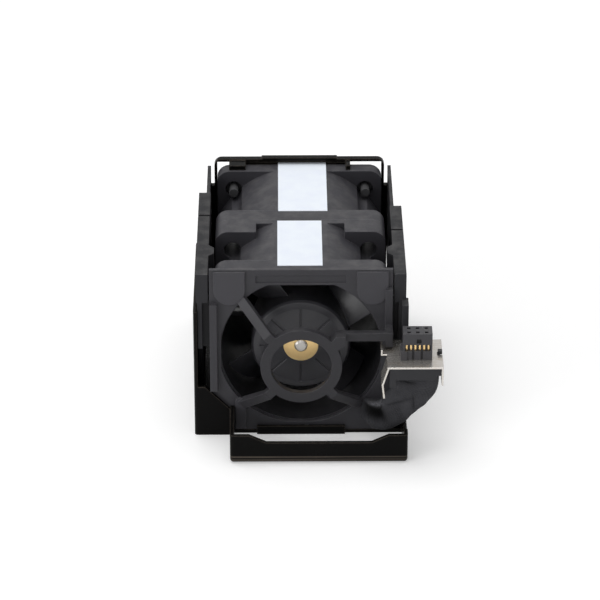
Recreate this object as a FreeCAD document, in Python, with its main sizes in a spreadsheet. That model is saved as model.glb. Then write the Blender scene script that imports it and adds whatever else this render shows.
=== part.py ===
"""Hot-swap server fan module: two counter-rotating 40 mm fans in line, held
between two moulded rails on a folded steel bracket with a pull handle.

Frame: +X right, +Y from the inlet face to the outlet, +Z up. The origin is on
the underside of the steel bracket, below the middle of the fan pair, so Z = 0
is what the module stands on. Millimetres throughout.
"""
import FreeCAD, Part
import math
import os

import Sketcher

VEC = FreeCAD.Vector

# Driving dimensions: name, value, what it is.
DIMENSIONS = [
    # Fan pair.
    ("fan_length", 56.0, "both casings, open face to open face"),
    ("fan_width", 40.0, "casing flange across X"),
    ("fan_height", 41.4, "casing flange along Z"),
    ("axis_z", 21.7, "rotor axis above the underside of the bracket"),
    ("flange_corner", 3.0, "corner radius of the casing flanges"),
    ("duct_bore_r", 18.6, "bore that the blades run in"),
    ("duct_wall", 3.0, "wall of the round duct, cut flat level with the flanges"),
    ("front_casing_length", 26.0, "front casing, open face to seam"),
    ("front_flange", 5.2, "thickness of the inlet flange"),
    ("front_mid_flange", 2.0, "front casing's flange at the seam"),
    ("front_block", 6.5, "front casing's corner blocks along Y"),
    ("rear_flange", 3.8, "thickness of the outlet flange"),
    ("rear_mid_flange", 5.0, "rear casing's flange at the seam"),
    ("rear_block", 5.0, "rear casing's corner blocks along Y"),
    ("block_width", 9.6, "corner block across X"),
    ("block_height", 9.0, "corner block along Z"),
    ("block_bevel", 2.6, "bevel on the inner edge of a corner block"),
    ("mount_pitch", 32.0, "corner hole to corner hole"),
    ("mount_hole_r", 2.0, "corner hole"),
    # Stator struts and motor seat, in both casings.
    ("seat_r", 10.6, "motor seat disc"),
    ("seat_thick", 1.5, "motor seat disc"),
    ("seat_depth", 17.9, "open face of a casing to its motor seat"),
    ("strut_count", 6, "struts from the seat to the duct"),
    ("strut_thick", 1.0, "strut wall"),
    ("strut_depth", 6.0, "strut along the axis"),
    ("strut_lean", 2.2, "sideways lean of a strut over its depth"),
    # Rotor.
    ("hub_setback", 2.0, "open face of a casing to the face of its rotor"),
    ("hub_r", 11.5, "outside of the hub"),
    ("hub_face_r", 9.6, "flat face of the hub"),
    ("hub_rim_r", 11.0, "hub where its edge turns down"),
    ("hub_chamfer", 0.9, "axial height of the turned edge round the hub face"),
    ("hub_depth", 12.6, "hub along the axis"),
    ("hub_wall", 1.1, "wall of the hub cup"),
    ("hub_rib_inner_r", 4.9, "radial grooves in the hub face start here"),
    ("hub_rib_width", 0.45, "groove width"),
    ("hub_rib_depth", 0.3, "groove depth"),
    ("hub_rib_count", 8, "grooves round the hub face"),
    ("front_blade_count", 4, "blades on the inlet rotor"),
    ("rear_blade_count", 5, "blades on the outlet rotor"),
    ("blade_gap", 0.5, "blade tip to duct bore"),
    ("blade_start", 3.6, "hub face to the near edge of a blade"),
    ("blade_depth", 8.6, "near edge to deep edge along the axis"),
    ("blade_near_side", 3.9, "near edge to the blade's middle plane, sideways"),
    ("blade_root_side", 4.0, "deep edge to the middle plane at the root"),
    ("blade_tip_side", 7.6, "deep edge to the middle plane at the tip"),
    ("blade_edge", 0.5, "thickness at leading and trailing edge"),
    ("blade_camber_r", 15.0, "curvature radius of the rounder side at the root"),
    ("blade_belly_r", 19.0, "curvature radius of the other side at the root"),
    ("blade_tip_camber_r", 30.0, "curvature radius of the rounder side at the tip"),
    ("blade_tip_belly_r", 38.0, "curvature radius of the other side at the tip"),
    ("front_blade_turn", 34.6, "angle of the first inlet blade, degrees"),
    ("rear_blade_turn", 25.0, "angle of the first outlet blade, degrees"),
    # Motor.
    ("shaft_r", 1.5, "steel shaft"),
    ("shaft_proud", 0.7, "shaft end in front of the hub face"),
    ("shaft_length", 19.6, "shaft"),
    ("bush_r", 4.05, "brass bush in the hub face"),
    ("bush_depth", 3.4, "brass bush along the axis"),
    ("press_gap", 0.02, "clearance left at pressed seats"),
    ("yoke_wall", 0.7, "steel yoke"),
    ("yoke_length", 11.0, "steel yoke"),
    ("magnet_wall", 1.2, "magnet ring"),
    ("magnet_length", 8.0, "magnet ring"),
    ("magnet_inset", 3.2, "hub face to magnet"),
    ("air_gap", 0.35, "magnet to stator teeth"),
    ("core_length", 5.0, "stator stack"),
    ("core_inset", 4.7, "hub face to stator stack"),
    ("core_hub_r", 4.6, "ring of the stator stack"),
    ("tooth_width", 2.0, "stator tooth"),
    ("tooth_shoe", 1.1, "depth of a tooth's shoe"),
    ("tooth_shoe_width", 8.4, "width of a tooth's shoe"),
    ("tooth_count", 4, "stator teeth"),
    ("coil_wall", 0.9, "build of a winding over its tooth"),
    ("coil_gap", 0.08, "winding to what it lies on"),
    ("board_r", 9.3, "motor circuit board"),
    ("board_thick", 0.8, "motor circuit board"),
    ("board_gap", 0.35, "circuit board to motor seat"),
    ("tube_wall", 0.5, "bearing tube"),
    ("tube_inset", 4.0, "hub face to bearing tube"),
    ("bearing_r", 3.0, "ball bearing outside"),
    ("bearing_length", 2.5, "ball bearing width"),
    ("bearing_wall", 0.45, "bearing rings"),
    ("bearing_run", 0.05, "running clearance between shields and inner ring"),
    ("bearing_edge", 0.3, "bearing to the end of its tube"),
    ("clip_r", 2.3, "retaining clip on the shaft"),
    ("clip_thick", 0.4, "retaining clip"),
    ("clip_gap", 0.1, "clip to inner ring"),
    # Face frame with its finger guard.
    ("face_thick", 1.0, "moulded frame in front of the inlet flange"),
    ("face_width", 42.2, "frame across X"),
    ("face_top", 43.0, "top edge of the frame above the table"),
    ("opening_r", 19.0, "inlet opening"),
    ("opening_flat_x", 18.5, "flats left and right of the opening"),
    ("opening_flat_top", 17.4, "flat above the opening"),
    ("opening_flat_low", 18.6, "flat below the opening"),
    ("pad_width", 7.2, "raised corner pad"),
    ("pad_inset", 1.0, "pad to the side of the frame"),
    ("pad_height", 8.4, "raised corner pad"),
    ("low_pad_outer", 15.3, "outer side of the narrower lower left pad"),
    ("pad_proud", 0.5, "raised corner pad"),
    ("slot_width", 20.8, "shallow recess above the opening"),
    ("slot_height", 1.9, "shallow recess above the opening"),
    ("slot_depth", 0.35, "shallow recess above the opening"),
    ("slot_drop", 1.5, "top edge of the frame to the recess"),
    ("guard_r", 9.4, "outside of the guard ring"),
    ("guard_bore_r", 7.05, "inside of the guard ring"),
    ("guard_thick", 1.6, "guard ring and arms"),
    ("guard_reach", 7.3, "guard ring's front in front of the frame"),
    ("guard_arm_width", 2.2, "guard arm"),
    ("guard_tab", 1.6, "level start of an arm at the ring"),
    ("bead_width", 1.7, "upright bead on the frame"),
    ("bead_proud", 1.3, "upright bead"),
    ("left_bead_low", 11.8, "left bead, lower end"),
    ("left_bead_top", 34.5, "left bead, upper end"),
    ("right_bead_low", 25.4, "right bead, lower end"),
    ("right_bead_top", 38.4, "right bead, upper end"),
    ("tie_low", 27.3, "level bar from the guard ring, lower edge"),
    ("tie_height", 2.0, "level bar"),
    ("tie_front", 5.4, "level bar's front in front of the frame"),
    ("tie_start", 8.6, "level bar starts this far right of the axis"),
    # Rails.
    ("rail_gap", 0.3, "face frame to rail"),
    ("rail_outer_x", 24.2, "outside of the rail blocks"),
    ("rail_top", 41.8, "top of the rail blocks"),
    ("rail_block_low", 34.5, "underside of the rail blocks"),
    ("rail_wall", 1.1, "upright wall of a rail"),
    ("left_wall_x", 23.9, "outside of the left rail's wall"),
    ("right_wall_x", 23.55, "outside of the right rail's wall"),
    ("rail_low", 6.0, "lower edge of a rail's wall"),
    ("rail_nose_low", 22.5, "lower edge of a rail's wall at the inlet"),
    ("rail_nose_depth", 5.0, "length of that raised stretch"),
    ("rail_slit", 0.7, "slit between the two blocks of a rail"),
    ("rail_slit_depth", 3.0, "slit between the two blocks"),
    ("left_split", 30.2, "frame front to the slit of the left rail"),
    ("left_block_end", 42.8, "frame front to the end of the left blocks"),
    ("right_split", 22.4, "frame front to the slit of the right rail"),
    ("right_block_end", 35.4, "frame front to the end of the right blocks"),
    ("fin_thick", 0.8, "thin rear fin of a rail"),
    ("fin_inner_x", 21.6, "inside of the fin"),
    ("fin_low", 14.0, "lower edge of a fin"),
    ("nub_reach", 1.25, "locating nub inward from a rail block"),
    ("nub_start", 9.6, "frame front to a locating nub"),
    ("nub_length", 5.4, "locating nub"),
    ("tower_width", 1.5, "upright ear on the right rail"),
    ("tower_reach", 3.0, "ear in front of the frame"),
    ("tower_top", 35.2, "top of the ear"),
    # Folded steel bracket with the handle.
    ("steel", 0.9, "steel sheet"),
    ("bracket_left_x", 24.9, "left side panel, outside"),
    ("bracket_right_x", 24.55, "right side panel and right arm, outside"),
    ("panel_length", 34.0, "side panels along Y"),
    ("left_panel_top", 32.6, "left side panel"),
    ("right_panel_top", 19.0, "right side panel"),
    ("panel_slope", 12.0, "run of the slope at the rear of a panel"),
    ("flange_gap", 0.1, "frame to the bracket's front flange"),
    ("flange_right_x", 16.5, "free edge of the front flange"),
    ("flange_high", 12.8, "front flange at the side panel"),
    ("flange_low", 6.8, "front flange at its free edge"),
    ("handle_reach", 14.2, "crossbar's front in front of the frame"),
    ("handle_end_height", 7.4, "crossbar at its ends"),
    ("handle_height", 5.5, "crossbar in the middle"),
    ("handle_shoulder", 4.4, "level stretch at each end of the crossbar"),
    ("handle_ramp", 4.0, "sloping stretch beside it"),
    ("hem_depth", 3.4, "crossbar's lower edge turned in under the grip"),
    ("hem_bend_r", 1.25, "outside bend radius of the turned edge"),
    ("tongue_width", 20.6, "upturned tongue below the opening"),
    ("tongue_height", 2.2, "upturned tongue"),
    ("tongue_thick", 0.7, "upturned tongue"),
    ("bend_r", 0.8, "outside bend radius of the bracket"),
    # Rear hoop.
    ("hoop_width", 41.5, "hoop across X"),
    ("hoop_over", 1.5, "top of the hoop above the casing flanges"),
    ("hoop_wall", 0.7, "hoop strip"),
    ("hoop_depth", 1.6, "hoop strip along Y"),
    ("hoop_corner", 1.8, "outside corner radius"),
    ("hoop_rise", 0.3, "raised middle stretch of the top bar"),
    ("hoop_rise_width", 18.4, "raised middle stretch"),
    ("hook_left_x", -15.1, "middle of the left hook over the flange"),
    ("hook_left_width", 4.0, "left hook"),
    ("hook_right_x", 11.85, "middle of the right hook"),
    ("hook_right_width", 1.1, "right hook"),
    ("hook_depth", 3.0, "hooks along Y"),
    ("hoop_lip", 0.6, "lip that closes the hoop between its hooks"),
    ("hoop_ledge", 1.2, "ledge behind the flange, from its top down"),
    ("hoop_foot_drop", 7.2, "top of the hoop to the upper end of its wider feet"),
    ("pin_r", 1.1, "rubber mounting pin"),
    ("pin_proud", 2.4, "pin in front of the outlet flange"),
    ("pin_head_r", 2.6, "pin head behind the outlet flange"),
    ("pin_head_thick", 0.9, "pin head"),
    # Labels, left blank.
    ("label_thick", 0.12, "label"),
    ("front_label_left", -5.4, "front label, left edge"),
    ("front_label_right", 5.0, "front label, right edge"),
    ("front_label_start", 3.2, "frame front to the front label"),
    ("front_label_end", 26.2, "frame front to its far edge"),
    ("rear_label_left", -5.2, "rear label, left edge"),
    ("rear_label_right", 6.5, "rear label, right edge"),
    ("rear_label_over", 1.0, "rear label past the outlet flange, on the hoop's ledge"),
    ("rear_label_gap", 4.4, "seam of the casings to the rear label"),
    # Connector on its sheet bracket.
    ("shelf_z", 24.7, "underside of the sheet bracket"),
    ("shelf_thick", 0.4, "sheet bracket"),
    ("shelf_left_x", 19.6, "sheet bracket, left edge"),
    ("shelf_right_x", 32.4, "sheet bracket, right edge"),
    ("shelf_front", 14.0, "front edge in front of the frame"),
    ("shelf_back", 0.6, "rear edge in front of the frame"),
    ("shelf_drop", 4.3, "side flanges of the sheet bracket"),
    ("shelf_flange_length", 6.0, "side flanges along Y"),
    ("shelf_splay", 1.3, "outward lean of the left side flange"),
    ("shelf_tongue", 3.3, "narrow tongue under the left side flange"),
    ("shelf_tab", 1.3, "curled tab on the left edge"),
    ("shelf_tab_start", 7.6, "front end of the tab, in front of the frame"),
    ("shelf_tab_end", 3.0, "rear end of the tab, in front of the frame"),
    ("shelf_tab_rise", 1.0, "tab above the sheet"),
    ("block_side_gap", 0.1, "plastic block to the side flanges"),
    ("block_top_gap", 0.05, "plastic block to the sheet above it"),
    ("block_low", 21.55, "underside of the plastic block"),
    ("block_leg", 1.9, "left leg below the block"),
    ("block_leg_width", 1.5, "left leg"),
    ("block_step", 1.15, "height of the step under the block's right end"),
    ("block_step_width", 1.0, "step under the block's right end"),
    ("block_front", 13.5, "block's front in front of the frame"),
    ("block_back", 3.2, "block's rear in front of the frame"),
    ("catch_reach", 7.8, "catch over the sheet, in front of the frame"),
    ("catch_width", 1.2, "catch along Y"),
    ("catch_left_x", 31.3, "catch through the notch in the sheet's right edge"),
    ("catch_head", 1.0, "catch head across X"),
    ("catch_rise", 0.8, "catch head above the sheet"),
    ("socket_left_x", 23.2, "socket, left side"),
    ("socket_pitch", 2.0, "contact holes"),
    ("socket_columns", 3, "contact holes along X"),
    ("socket_rows", 2, "contact holes along Y"),
    ("socket_margin", 0.35, "socket wall outside the pitch grid"),
    ("socket_height", 6.7, "socket"),
    ("socket_front", 10.4, "socket's front in front of the frame"),
    ("socket_hole", 0.8, "square contact hole"),
    ("socket_hole_depth", 2.4, "square contact hole"),
    ("socket_window_low", 2.3, "window that bares the contacts"),
    ("socket_window_height", 1.6, "window height"),
    ("socket_window_depth", 0.8, "window depth"),
    ("socket_key", 1.1, "polarising notch in the front"),
    ("socket_foot", 0.5, "socket's foot beyond its left side"),
    ("contact_width", 0.45, "gold contact strip"),
    ("contact_thick", 0.25, "gold contact strip"),
    ("contact_gap", 0.05, "contact to the window's back wall"),
    # Wire bundle in its sleeve, from the plastic block to the frame's lower corner.
    ("lead_x", 27.7, "middle of the sleeve at the block"),
    ("lead_reach", 8.6, "sleeve at the block, in front of the frame"),
    ("lead_half_width", 4.1, "half the broad side of the sleeve"),
    ("lead_half_thick", 1.9, "half the thickness of the sleeve"),
    ("lead_plane", 25.0, "turn of the sleeve's broad side towards the frame, degrees"),
    ("lead_lean", 37.0, "lean of its straight run, degrees from upright"),
    ("lead_drop", 1.5, "straight start under the block"),
    ("lead_top_gap", 0.1, "block to sleeve"),
    ("lead_bend_r", 5.0, "upper bend"),
    ("lead_run", 8.8, "straight run"),
    ("lead_low_bend_r", 5.0, "lower bend"),
    ("lead_turn_r", 2.2, "turn towards the frame"),
    ("lead_end_gap", 0.1, "end of the sleeve to the frame"),
]


class Size:
    """A length that knows its value and the sheet expression that drives it."""

    def __init__(self, value, text):
        self.value = float(value)
        self.text = text

    def __add__(self, other):
        other = size(other)
        return Size(self.value + other.value, f"({self.text} + {other.text})")

    def __sub__(self, other):
        other = size(other)
        return Size(self.value - other.value, f"({self.text} - {other.text})")

    def __rsub__(self, other):
        return size(other) - self

    def __mul__(self, other):
        other = size(other)
        return Size(self.value * other.value, f"({self.text} * {other.text})")

    def __truediv__(self, other):
        other = size(other)
        return Size(self.value / other.value, f"({self.text} / {other.text})")

    def __neg__(self):
        return size(0) - self

    __radd__ = __add__
    __rmul__ = __mul__


def size(value):
    """Wrap a plain number, and pass a Size through."""
    return value if isinstance(value, Size) else Size(value, repr(value))


def root(value):
    """Square root of a Size."""
    return Size(math.sqrt(value.value), f"sqrt({value.text})")


def fill_sheet(doc):
    """Put the driving dimensions in the document's sheet and return them by name."""
    sheet = doc.addObject("Spreadsheet::Sheet", "Sizes")
    named = {}
    for row, (name, value, note) in enumerate(DIMENSIONS, start=1):
        sheet.set(f"A{row}", name)
        sheet.set(f"B{row}", str(value))
        sheet.set(f"C{row}", note)
        sheet.setAlias(f"B{row}", name)
        named[name] = Size(value, f"Sizes.{name}")
    doc.recompute()
    return named


DOC = FreeCAD.newDocument("server_fan_module")
D = fill_sheet(DOC)
NODES = []

# Places that several pieces share.
FRONT_Y = -(D["fan_length"] / 2) - D["face_thick"]
INLET_Y = -(D["fan_length"] / 2)
OUTLET_Y = D["fan_length"] / 2
HALF_WIDTH = D["fan_width"] / 2
HALF_HEIGHT = D["fan_height"] / 2
DUCT_R = D["duct_bore_r"] + D["duct_wall"]
FLANGE_TOP = D["axis_z"] + HALF_HEIGHT
HALF_FACE = D["face_width"] / 2
OUTLET_DEPTH = D["face_thick"] + D["fan_length"]
MODULE_DEPTH = OUTLET_DEPTH + D["hoop_depth"]
HOOP_TOP = FLANGE_TOP + D["hoop_over"]
TIP_R = D["duct_bore_r"] - D["blade_gap"]
HUB_BORE_R = D["hub_r"] - D["hub_wall"]
YOKE_R = HUB_BORE_R - D["press_gap"]
YOKE_BORE_R = YOKE_R - D["yoke_wall"]
MAGNET_R = YOKE_BORE_R - D["press_gap"]
MAGNET_BORE_R = MAGNET_R - D["magnet_wall"]
CORE_R = MAGNET_BORE_R - D["air_gap"]
TUBE_BORE_R = D["bearing_r"] + D["press_gap"]
TUBE_R = TUBE_BORE_R + D["tube_wall"]
TUBE_START = D["hub_setback"] + D["tube_inset"]
TUBE_END = D["seat_depth"] + D["seat_thick"]
BUSH_BORE_R = D["shaft_r"] + D["press_gap"]


# Drawing helpers.

def bind(thing, prop, value):
    """Drive one property of an object from the sheet."""
    thing.setExpression(prop, size(value).text)


def new_body(label, x=0, y=0, z=0, turn=0):
    """A body for one piece, placed in the module's frame."""
    body = DOC.addObject("PartDesign::Body", label)
    body.Label = label
    body.Placement = FreeCAD.Placement(VEC(0, 0, 0), FreeCAD.Rotation(VEC(0, 0, 1), turn))
    bind(body, "Placement.Base.x", x)
    bind(body, "Placement.Base.y", y)
    bind(body, "Placement.Base.z", z)
    NODES.append(body)
    return body


def origin_item(body, role):
    """The origin plane or axis of a body that has this role."""
    return next(item for item in body.Origin.OriginFeatures if item.Role == role)


def new_sketch(body, role, offset=0, turn=0):
    """A sketch on an origin plane, turned about its own Y and then moved along its normal."""
    sketch = body.newObject("Sketcher::SketchObject", body.Name + "_sketch")
    sketch.AttachmentSupport = [(origin_item(body, role), "")]
    sketch.MapMode = "FlatFace"
    sketch.AttachmentOffset = FreeCAD.Placement(VEC(0, 0, 0), FreeCAD.Rotation(VEC(0, 1, 0), turn))
    offset = size(offset)
    angle = size(turn)
    bind(sketch, "AttachmentOffset.Base.x", offset * sine(angle))
    bind(sketch, "AttachmentOffset.Base.z", offset * cosine(angle))
    return sketch


def hold(sketch, kind, geometry, point, value):
    """Fix one coordinate of a sketch point, measured from the sketch's origin."""
    index = sketch.addConstraint(Sketcher.Constraint(kind, -1, 1, geometry, point, value.value))
    sketch.setExpression(f"Constraints[{index}]", value.text)


def hold_point(sketch, geometry, point, place):
    """Fix both coordinates of a sketch point."""
    hold(sketch, "DistanceX", geometry, point, size(place[0]))
    hold(sketch, "DistanceY", geometry, point, size(place[1]))


def hold_radius(sketch, geometry, value):
    """Fix the radius of a sketch circle or arc."""
    index = sketch.addConstraint(Sketcher.Constraint("Radius", geometry, value.value))
    sketch.setExpression(f"Constraints[{index}]", value.text)


def flat(place):
    """A sketch point as a vector."""
    return VEC(size(place[0]).value, size(place[1]).value, 0)


def polygon(*points):
    """Draws a closed outline of straight lines."""
    def draw(sketch):
        count = len(points)
        lines = []
        for index, point in enumerate(points):
            following = points[(index + 1) % count]
            lines.append(sketch.addGeometry(Part.LineSegment(flat(point), flat(following)), False))
        for index, line in enumerate(lines):
            following = lines[(index + 1) % count]
            sketch.addConstraint(Sketcher.Constraint("Coincident", line, 2, following, 1))
        for line, point in zip(lines, points):
            hold_point(sketch, line, 1, point)
    return draw


def box(left, low, right, top):
    """Draws a rectangle from its two corners."""
    return polygon((left, low), (right, low), (right, top), (left, top))


def disc(radius, u=0, v=0):
    """Draws a circle."""
    def draw(sketch):
        radius_size = size(radius)
        circle = Part.Circle(flat((u, v)), VEC(0, 0, 1), radius_size.value)
        index = sketch.addGeometry(circle, False)
        hold_point(sketch, index, 3, (u, v))
        hold_radius(sketch, index, radius_size)
    return draw


def both(*drawings):
    """Draws several outlines in one sketch."""
    def draw(sketch):
        for drawing in drawings:
            drawing(sketch)
    return draw


def bowed(first, second, radius):
    """Centre and end angles of the arc that turns left from first to second."""
    start, end = flat(first), flat(second)
    chord = end - start
    middle = (start + end) * 0.5
    height = math.sqrt(radius.value ** 2 - (chord.Length / 2) ** 2)
    centre = middle + VEC(-chord.y, chord.x, 0).normalize() * height
    low = math.atan2(start.y - centre.y, start.x - centre.x)
    high = math.atan2(end.y - centre.y, end.x - centre.x)
    return Part.ArcOfCircle(Part.Circle(centre, VEC(0, 0, 1), radius.value), low, high)


def blade_outline(near_edge, deep_edge, edge, front_r, back_r):
    """Draws a blade section: two arcs between blunt edges.

    The edges are (axial, sideways) points on the front surface, edge the thickness there."""
    near_back = (near_edge[0] + edge, near_edge[1])
    deep_back = (deep_edge[0] + edge, deep_edge[1])

    def draw(sketch):
        front = sketch.addGeometry(bowed(deep_edge, near_edge, front_r), False)
        back = sketch.addGeometry(bowed(deep_back, near_back, back_r), False)
        nose = sketch.addGeometry(Part.LineSegment(flat(near_edge), flat(near_back)), False)
        tail = sketch.addGeometry(Part.LineSegment(flat(deep_back), flat(deep_edge)), False)
        sketch.addConstraint(Sketcher.Constraint("Coincident", nose, 1, front, 2))
        sketch.addConstraint(Sketcher.Constraint("Coincident", nose, 2, back, 2))
        sketch.addConstraint(Sketcher.Constraint("Coincident", tail, 1, back, 1))
        sketch.addConstraint(Sketcher.Constraint("Coincident", tail, 2, front, 1))
        hold_point(sketch, nose, 1, near_edge)
        hold_point(sketch, nose, 2, near_back)
        hold_point(sketch, tail, 1, deep_back)
        hold_point(sketch, tail, 2, deep_edge)
        hold_radius(sketch, front, front_r)
        hold_radius(sketch, back, back_r)
    return draw


def flatted_circle(radius, side, top, low):
    """Draws a circle with a flat on each of its four sides."""
    side_rise = root(radius * radius - side * side)
    top_run = root(radius * radius - top * top)
    low_run = root(radius * radius - low * low)
    corners = [
        (side, -side_rise), (side, side_rise), (top_run, top), (-top_run, top),
        (-side, side_rise), (-side, -side_rise), (-low_run, -low), (low_run, -low),
    ]

    def draw(sketch):
        count = len(corners)
        edges = []
        for index, corner in enumerate(corners):
            following = corners[(index + 1) % count]
            if index % 2 == 0:
                edge = sketch.addGeometry(Part.LineSegment(flat(corner), flat(following)), False)
            else:
                edge = sketch.addGeometry(bowed(corner, following, radius), False)
            edges.append(edge)
        for index, edge in enumerate(edges):
            following = edges[(index + 1) % count]
            sketch.addConstraint(Sketcher.Constraint("Coincident", edge, 2, following, 1))
        for index, corner in enumerate(corners):
            hold_point(sketch, edges[index], 1, corner)
        for edge in edges[1::2]:
            hold_radius(sketch, edge, radius)
    return draw


def finish(body, feature):
    """Make a feature the body's last one and compute it."""
    body.Tip = feature
    DOC.recompute()
    return feature


def extrude(body, role, start, end, draw, cut=False, turn=0):
    """Pad or pocket an outline between two coordinates along the plane's own axis."""
    start, end = size(start), size(end)
    backwards = role == "XZ_Plane"
    sketch = new_sketch(body, role, -start if backwards else start, turn)
    draw(sketch)
    before = body.Shape.Volume if cut else 0.0
    kind = "PartDesign::Pocket" if cut else "PartDesign::Pad"
    feature = body.newObject(kind, body.Name + ("_pocket" if cut else "_pad"))
    feature.Profile = sketch
    feature.Type = 0
    bind(feature, "Length", end - start)
    feature.Reversed = backwards != cut
    sketch.Visibility = False
    finish(body, feature)
    if cut and body.Shape.Volume >= before - 1e-6:
        raise RuntimeError(f"a pocket of {body.Label} cuts nothing")
    return feature


def along_y(body, start, end, draw, cut=False):
    """Extrude an outline in X and Z along Y."""
    return extrude(body, "XZ_Plane", start, end, draw, cut)


def along_x(body, start, end, draw, cut=False):
    """Extrude an outline in Y and Z along X."""
    return extrude(body, "YZ_Plane", start, end, draw, cut)


def along_z(body, start, end, draw, cut=False):
    """Extrude an outline in X and Y along Z."""
    return extrude(body, "XY_Plane", start, end, draw, cut)


def turned(body, *points):
    """Revolve an outline of (radius, Y) points about the body's Y axis."""
    sketch = new_sketch(body, "XY_Plane")
    polygon(*points)(sketch)
    feature = body.newObject("PartDesign::Revolution", body.Name + "_turned")
    feature.Profile = sketch
    feature.ReferenceAxis = (sketch, ["V_Axis"])
    feature.Angle = 360
    sketch.Visibility = False
    return finish(body, feature)


def around_axis(body, feature, count):
    """Repeat a feature round the body's Y axis."""
    pattern = body.newObject("PartDesign::PolarPattern", body.Name + "_pattern")
    pattern.Originals = [feature]
    pattern.Axis = (origin_item(body, "Y_Axis"), [""])
    pattern.Angle = 360
    bind(pattern, "Occurrences", count)
    return finish(body, pattern)


def round_edges(body, base, radius, wanted):
    """Fillet the edges of the body that the test picks by midpoint and direction."""
    picked = []
    for index, edge in enumerate(base.Shape.Edges, start=1):
        if len(edge.Vertexes) != 2:
            continue
        first, last = (corner.Point for corner in edge.Vertexes)
        span = last - first
        if span.Length < 1e-6 or abs(edge.Length - span.Length) > 1e-6:
            continue
        middle = (first + last) * 0.5
        direction = span.normalize()
        if wanted(middle, direction):
            picked.append(f"Edge{index}")
    if not picked:
        raise RuntimeError(f"no edge of {body.Label} to round")
    fillet = body.newObject("PartDesign::Fillet", body.Name + "_fillet")
    fillet.Base = (base, picked)
    bind(fillet, "Radius", radius)
    return finish(body, fillet)


def near(first, second, within=0.01):
    """Whether a coordinate equals a Size."""
    return abs(first - size(second).value) < within


# Casings.

def casing(label, length, flange, mid_flange, block, y, turn):
    """One fan casing. Its own Y starts at the open face and runs to the seam."""
    body = new_body(label, 0, y, D["axis_z"], turn)
    outline = box(-HALF_WIDTH, -HALF_HEIGHT, HALF_WIDTH, HALF_HEIGHT)
    along_y(body, 0, flange, outline)
    along_y(body, length - mid_flange, length, outline)
    along_y(body, 0, length, flatted_circle(DUCT_R, HALF_WIDTH, HALF_HEIGHT, HALF_HEIGHT))
    for side in (-1, 1):
        for level in (-1, 1):
            corner_block(body, length, block, side, level)
    last = body.Tip
    round_edges(body, last, D["flange_corner"], lambda middle, direction: (
        abs(direction.y) > 0.99
        and near(abs(middle.x), HALF_WIDTH)
        and near(abs(middle.z), HALF_HEIGHT)))
    along_y(body, 0, length, disc(D["duct_bore_r"]), cut=True)
    half_pitch = D["mount_pitch"] / 2
    holes = [disc(D["mount_hole_r"], side * half_pitch, level * half_pitch)
             for side in (-1, 1) for level in (-1, 1)]
    along_y(body, 0, length, both(*holes), cut=True)
    stator_seat(body)
    return body


def corner_block(body, length, block, side, level):
    """A solid block behind one corner of the seam flange, bevelled towards the duct."""
    inner = HALF_WIDTH - D["block_width"]
    low = HALF_HEIGHT - D["block_height"]
    points = [
        (side * inner, level * (low + D["block_bevel"])),
        (side * (inner + D["block_bevel"]), level * low),
        (side * HALF_WIDTH, level * low),
        (side * HALF_WIDTH, level * HALF_HEIGHT),
        (side * inner, level * HALF_HEIGHT),
    ]
    if side * level < 0:
        points.reverse()
    along_y(body, length - block, length, polygon(*points))


def stator_seat(body):
    """Motor seat, its struts to the duct and the hole for the bearing tube."""
    start = D["seat_depth"]
    along_y(body, start, start + D["seat_thick"], disc(D["seat_r"]))
    half = D["strut_thick"] / 2
    lean = D["strut_lean"]
    strut = along_x(body, D["seat_r"] - 1, D["duct_bore_r"] + D["duct_wall"] / 4, polygon(
        (start, -half), (start + D["strut_depth"], lean - half),
        (start + D["strut_depth"], lean + half), (start, half)))
    around_axis(body, strut, D["strut_count"])
    along_y(body, start, start + D["seat_thick"], disc(TUBE_R + D["press_gap"]), cut=True)


# Rotors. Each one's own Y starts at its casing's open face.

def impeller(label, blades, turn_angle, hand, y, turn):
    """Hub cup with lofted blades, trimmed to the running circle."""
    body = new_body(label, 0, y, D["axis_z"], turn)
    face = D["hub_setback"]
    rim = face + D["hub_chamfer"]
    back = face + D["hub_depth"]
    turned(body, (0, face), (D["hub_face_r"], face), (D["hub_rim_r"], face + D["hub_chamfer"] * 0.3),
           (D["hub_r"], rim), (D["hub_r"], back), (0, back))
    blade = blade_loft(body, face + D["blade_start"], turn_angle, hand)
    around_axis(body, blade, blades)
    lead = face - D["hub_chamfer"]
    along_y(body, lead, back + D["blade_depth"], both(disc(TIP_R), disc(TIP_R * 1.6)), cut=True)
    along_y(body, face + D["hub_wall"], back + D["blade_depth"], disc(HUB_BORE_R), cut=True)
    along_y(body, face, face + D["hub_wall"], disc(D["bush_r"] + D["press_gap"]), cut=True)
    half = D["hub_rib_width"] / 2
    groove = along_y(body, face, face + D["hub_rib_depth"], box(
        D["hub_rib_inner_r"], -half, D["hub_face_r"], half), cut=True)
    around_axis(body, groove, D["hub_rib_count"])
    return body


def blade_loft(body, start, turn_angle, hand):
    """One blade as a loft from a section inside the hub to one past the tip circle."""
    end = start + D["blade_depth"]
    edge = D["blade_edge"]
    root_x = HUB_BORE_R * 0.86
    tip_x = TIP_R * 1.03
    sections = []
    for place, side, front_r, back_r in (
            (root_x, D["blade_root_side"], D["blade_camber_r"], D["blade_belly_r"]),
            (tip_x, D["blade_tip_side"], D["blade_tip_camber_r"], D["blade_tip_belly_r"])):
        near_edge = (start, D["blade_near_side"] * -hand)
        deep_edge = (end, side * hand)
        if hand < 0:
            front_r, back_r = back_r, front_r
        sketch = blade_sketch(body, place, turn_angle)
        blade_outline(near_edge, deep_edge, edge, front_r, back_r)(sketch)
        sections.append(sketch)
    loft = body.newObject("PartDesign::AdditiveLoft", body.Name + "_blade")
    loft.Profile = sections[0]
    loft.Sections = [sections[1]]
    loft.Ruled = True
    for sketch in sections:
        sketch.Visibility = False
    return finish(body, loft)


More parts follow.
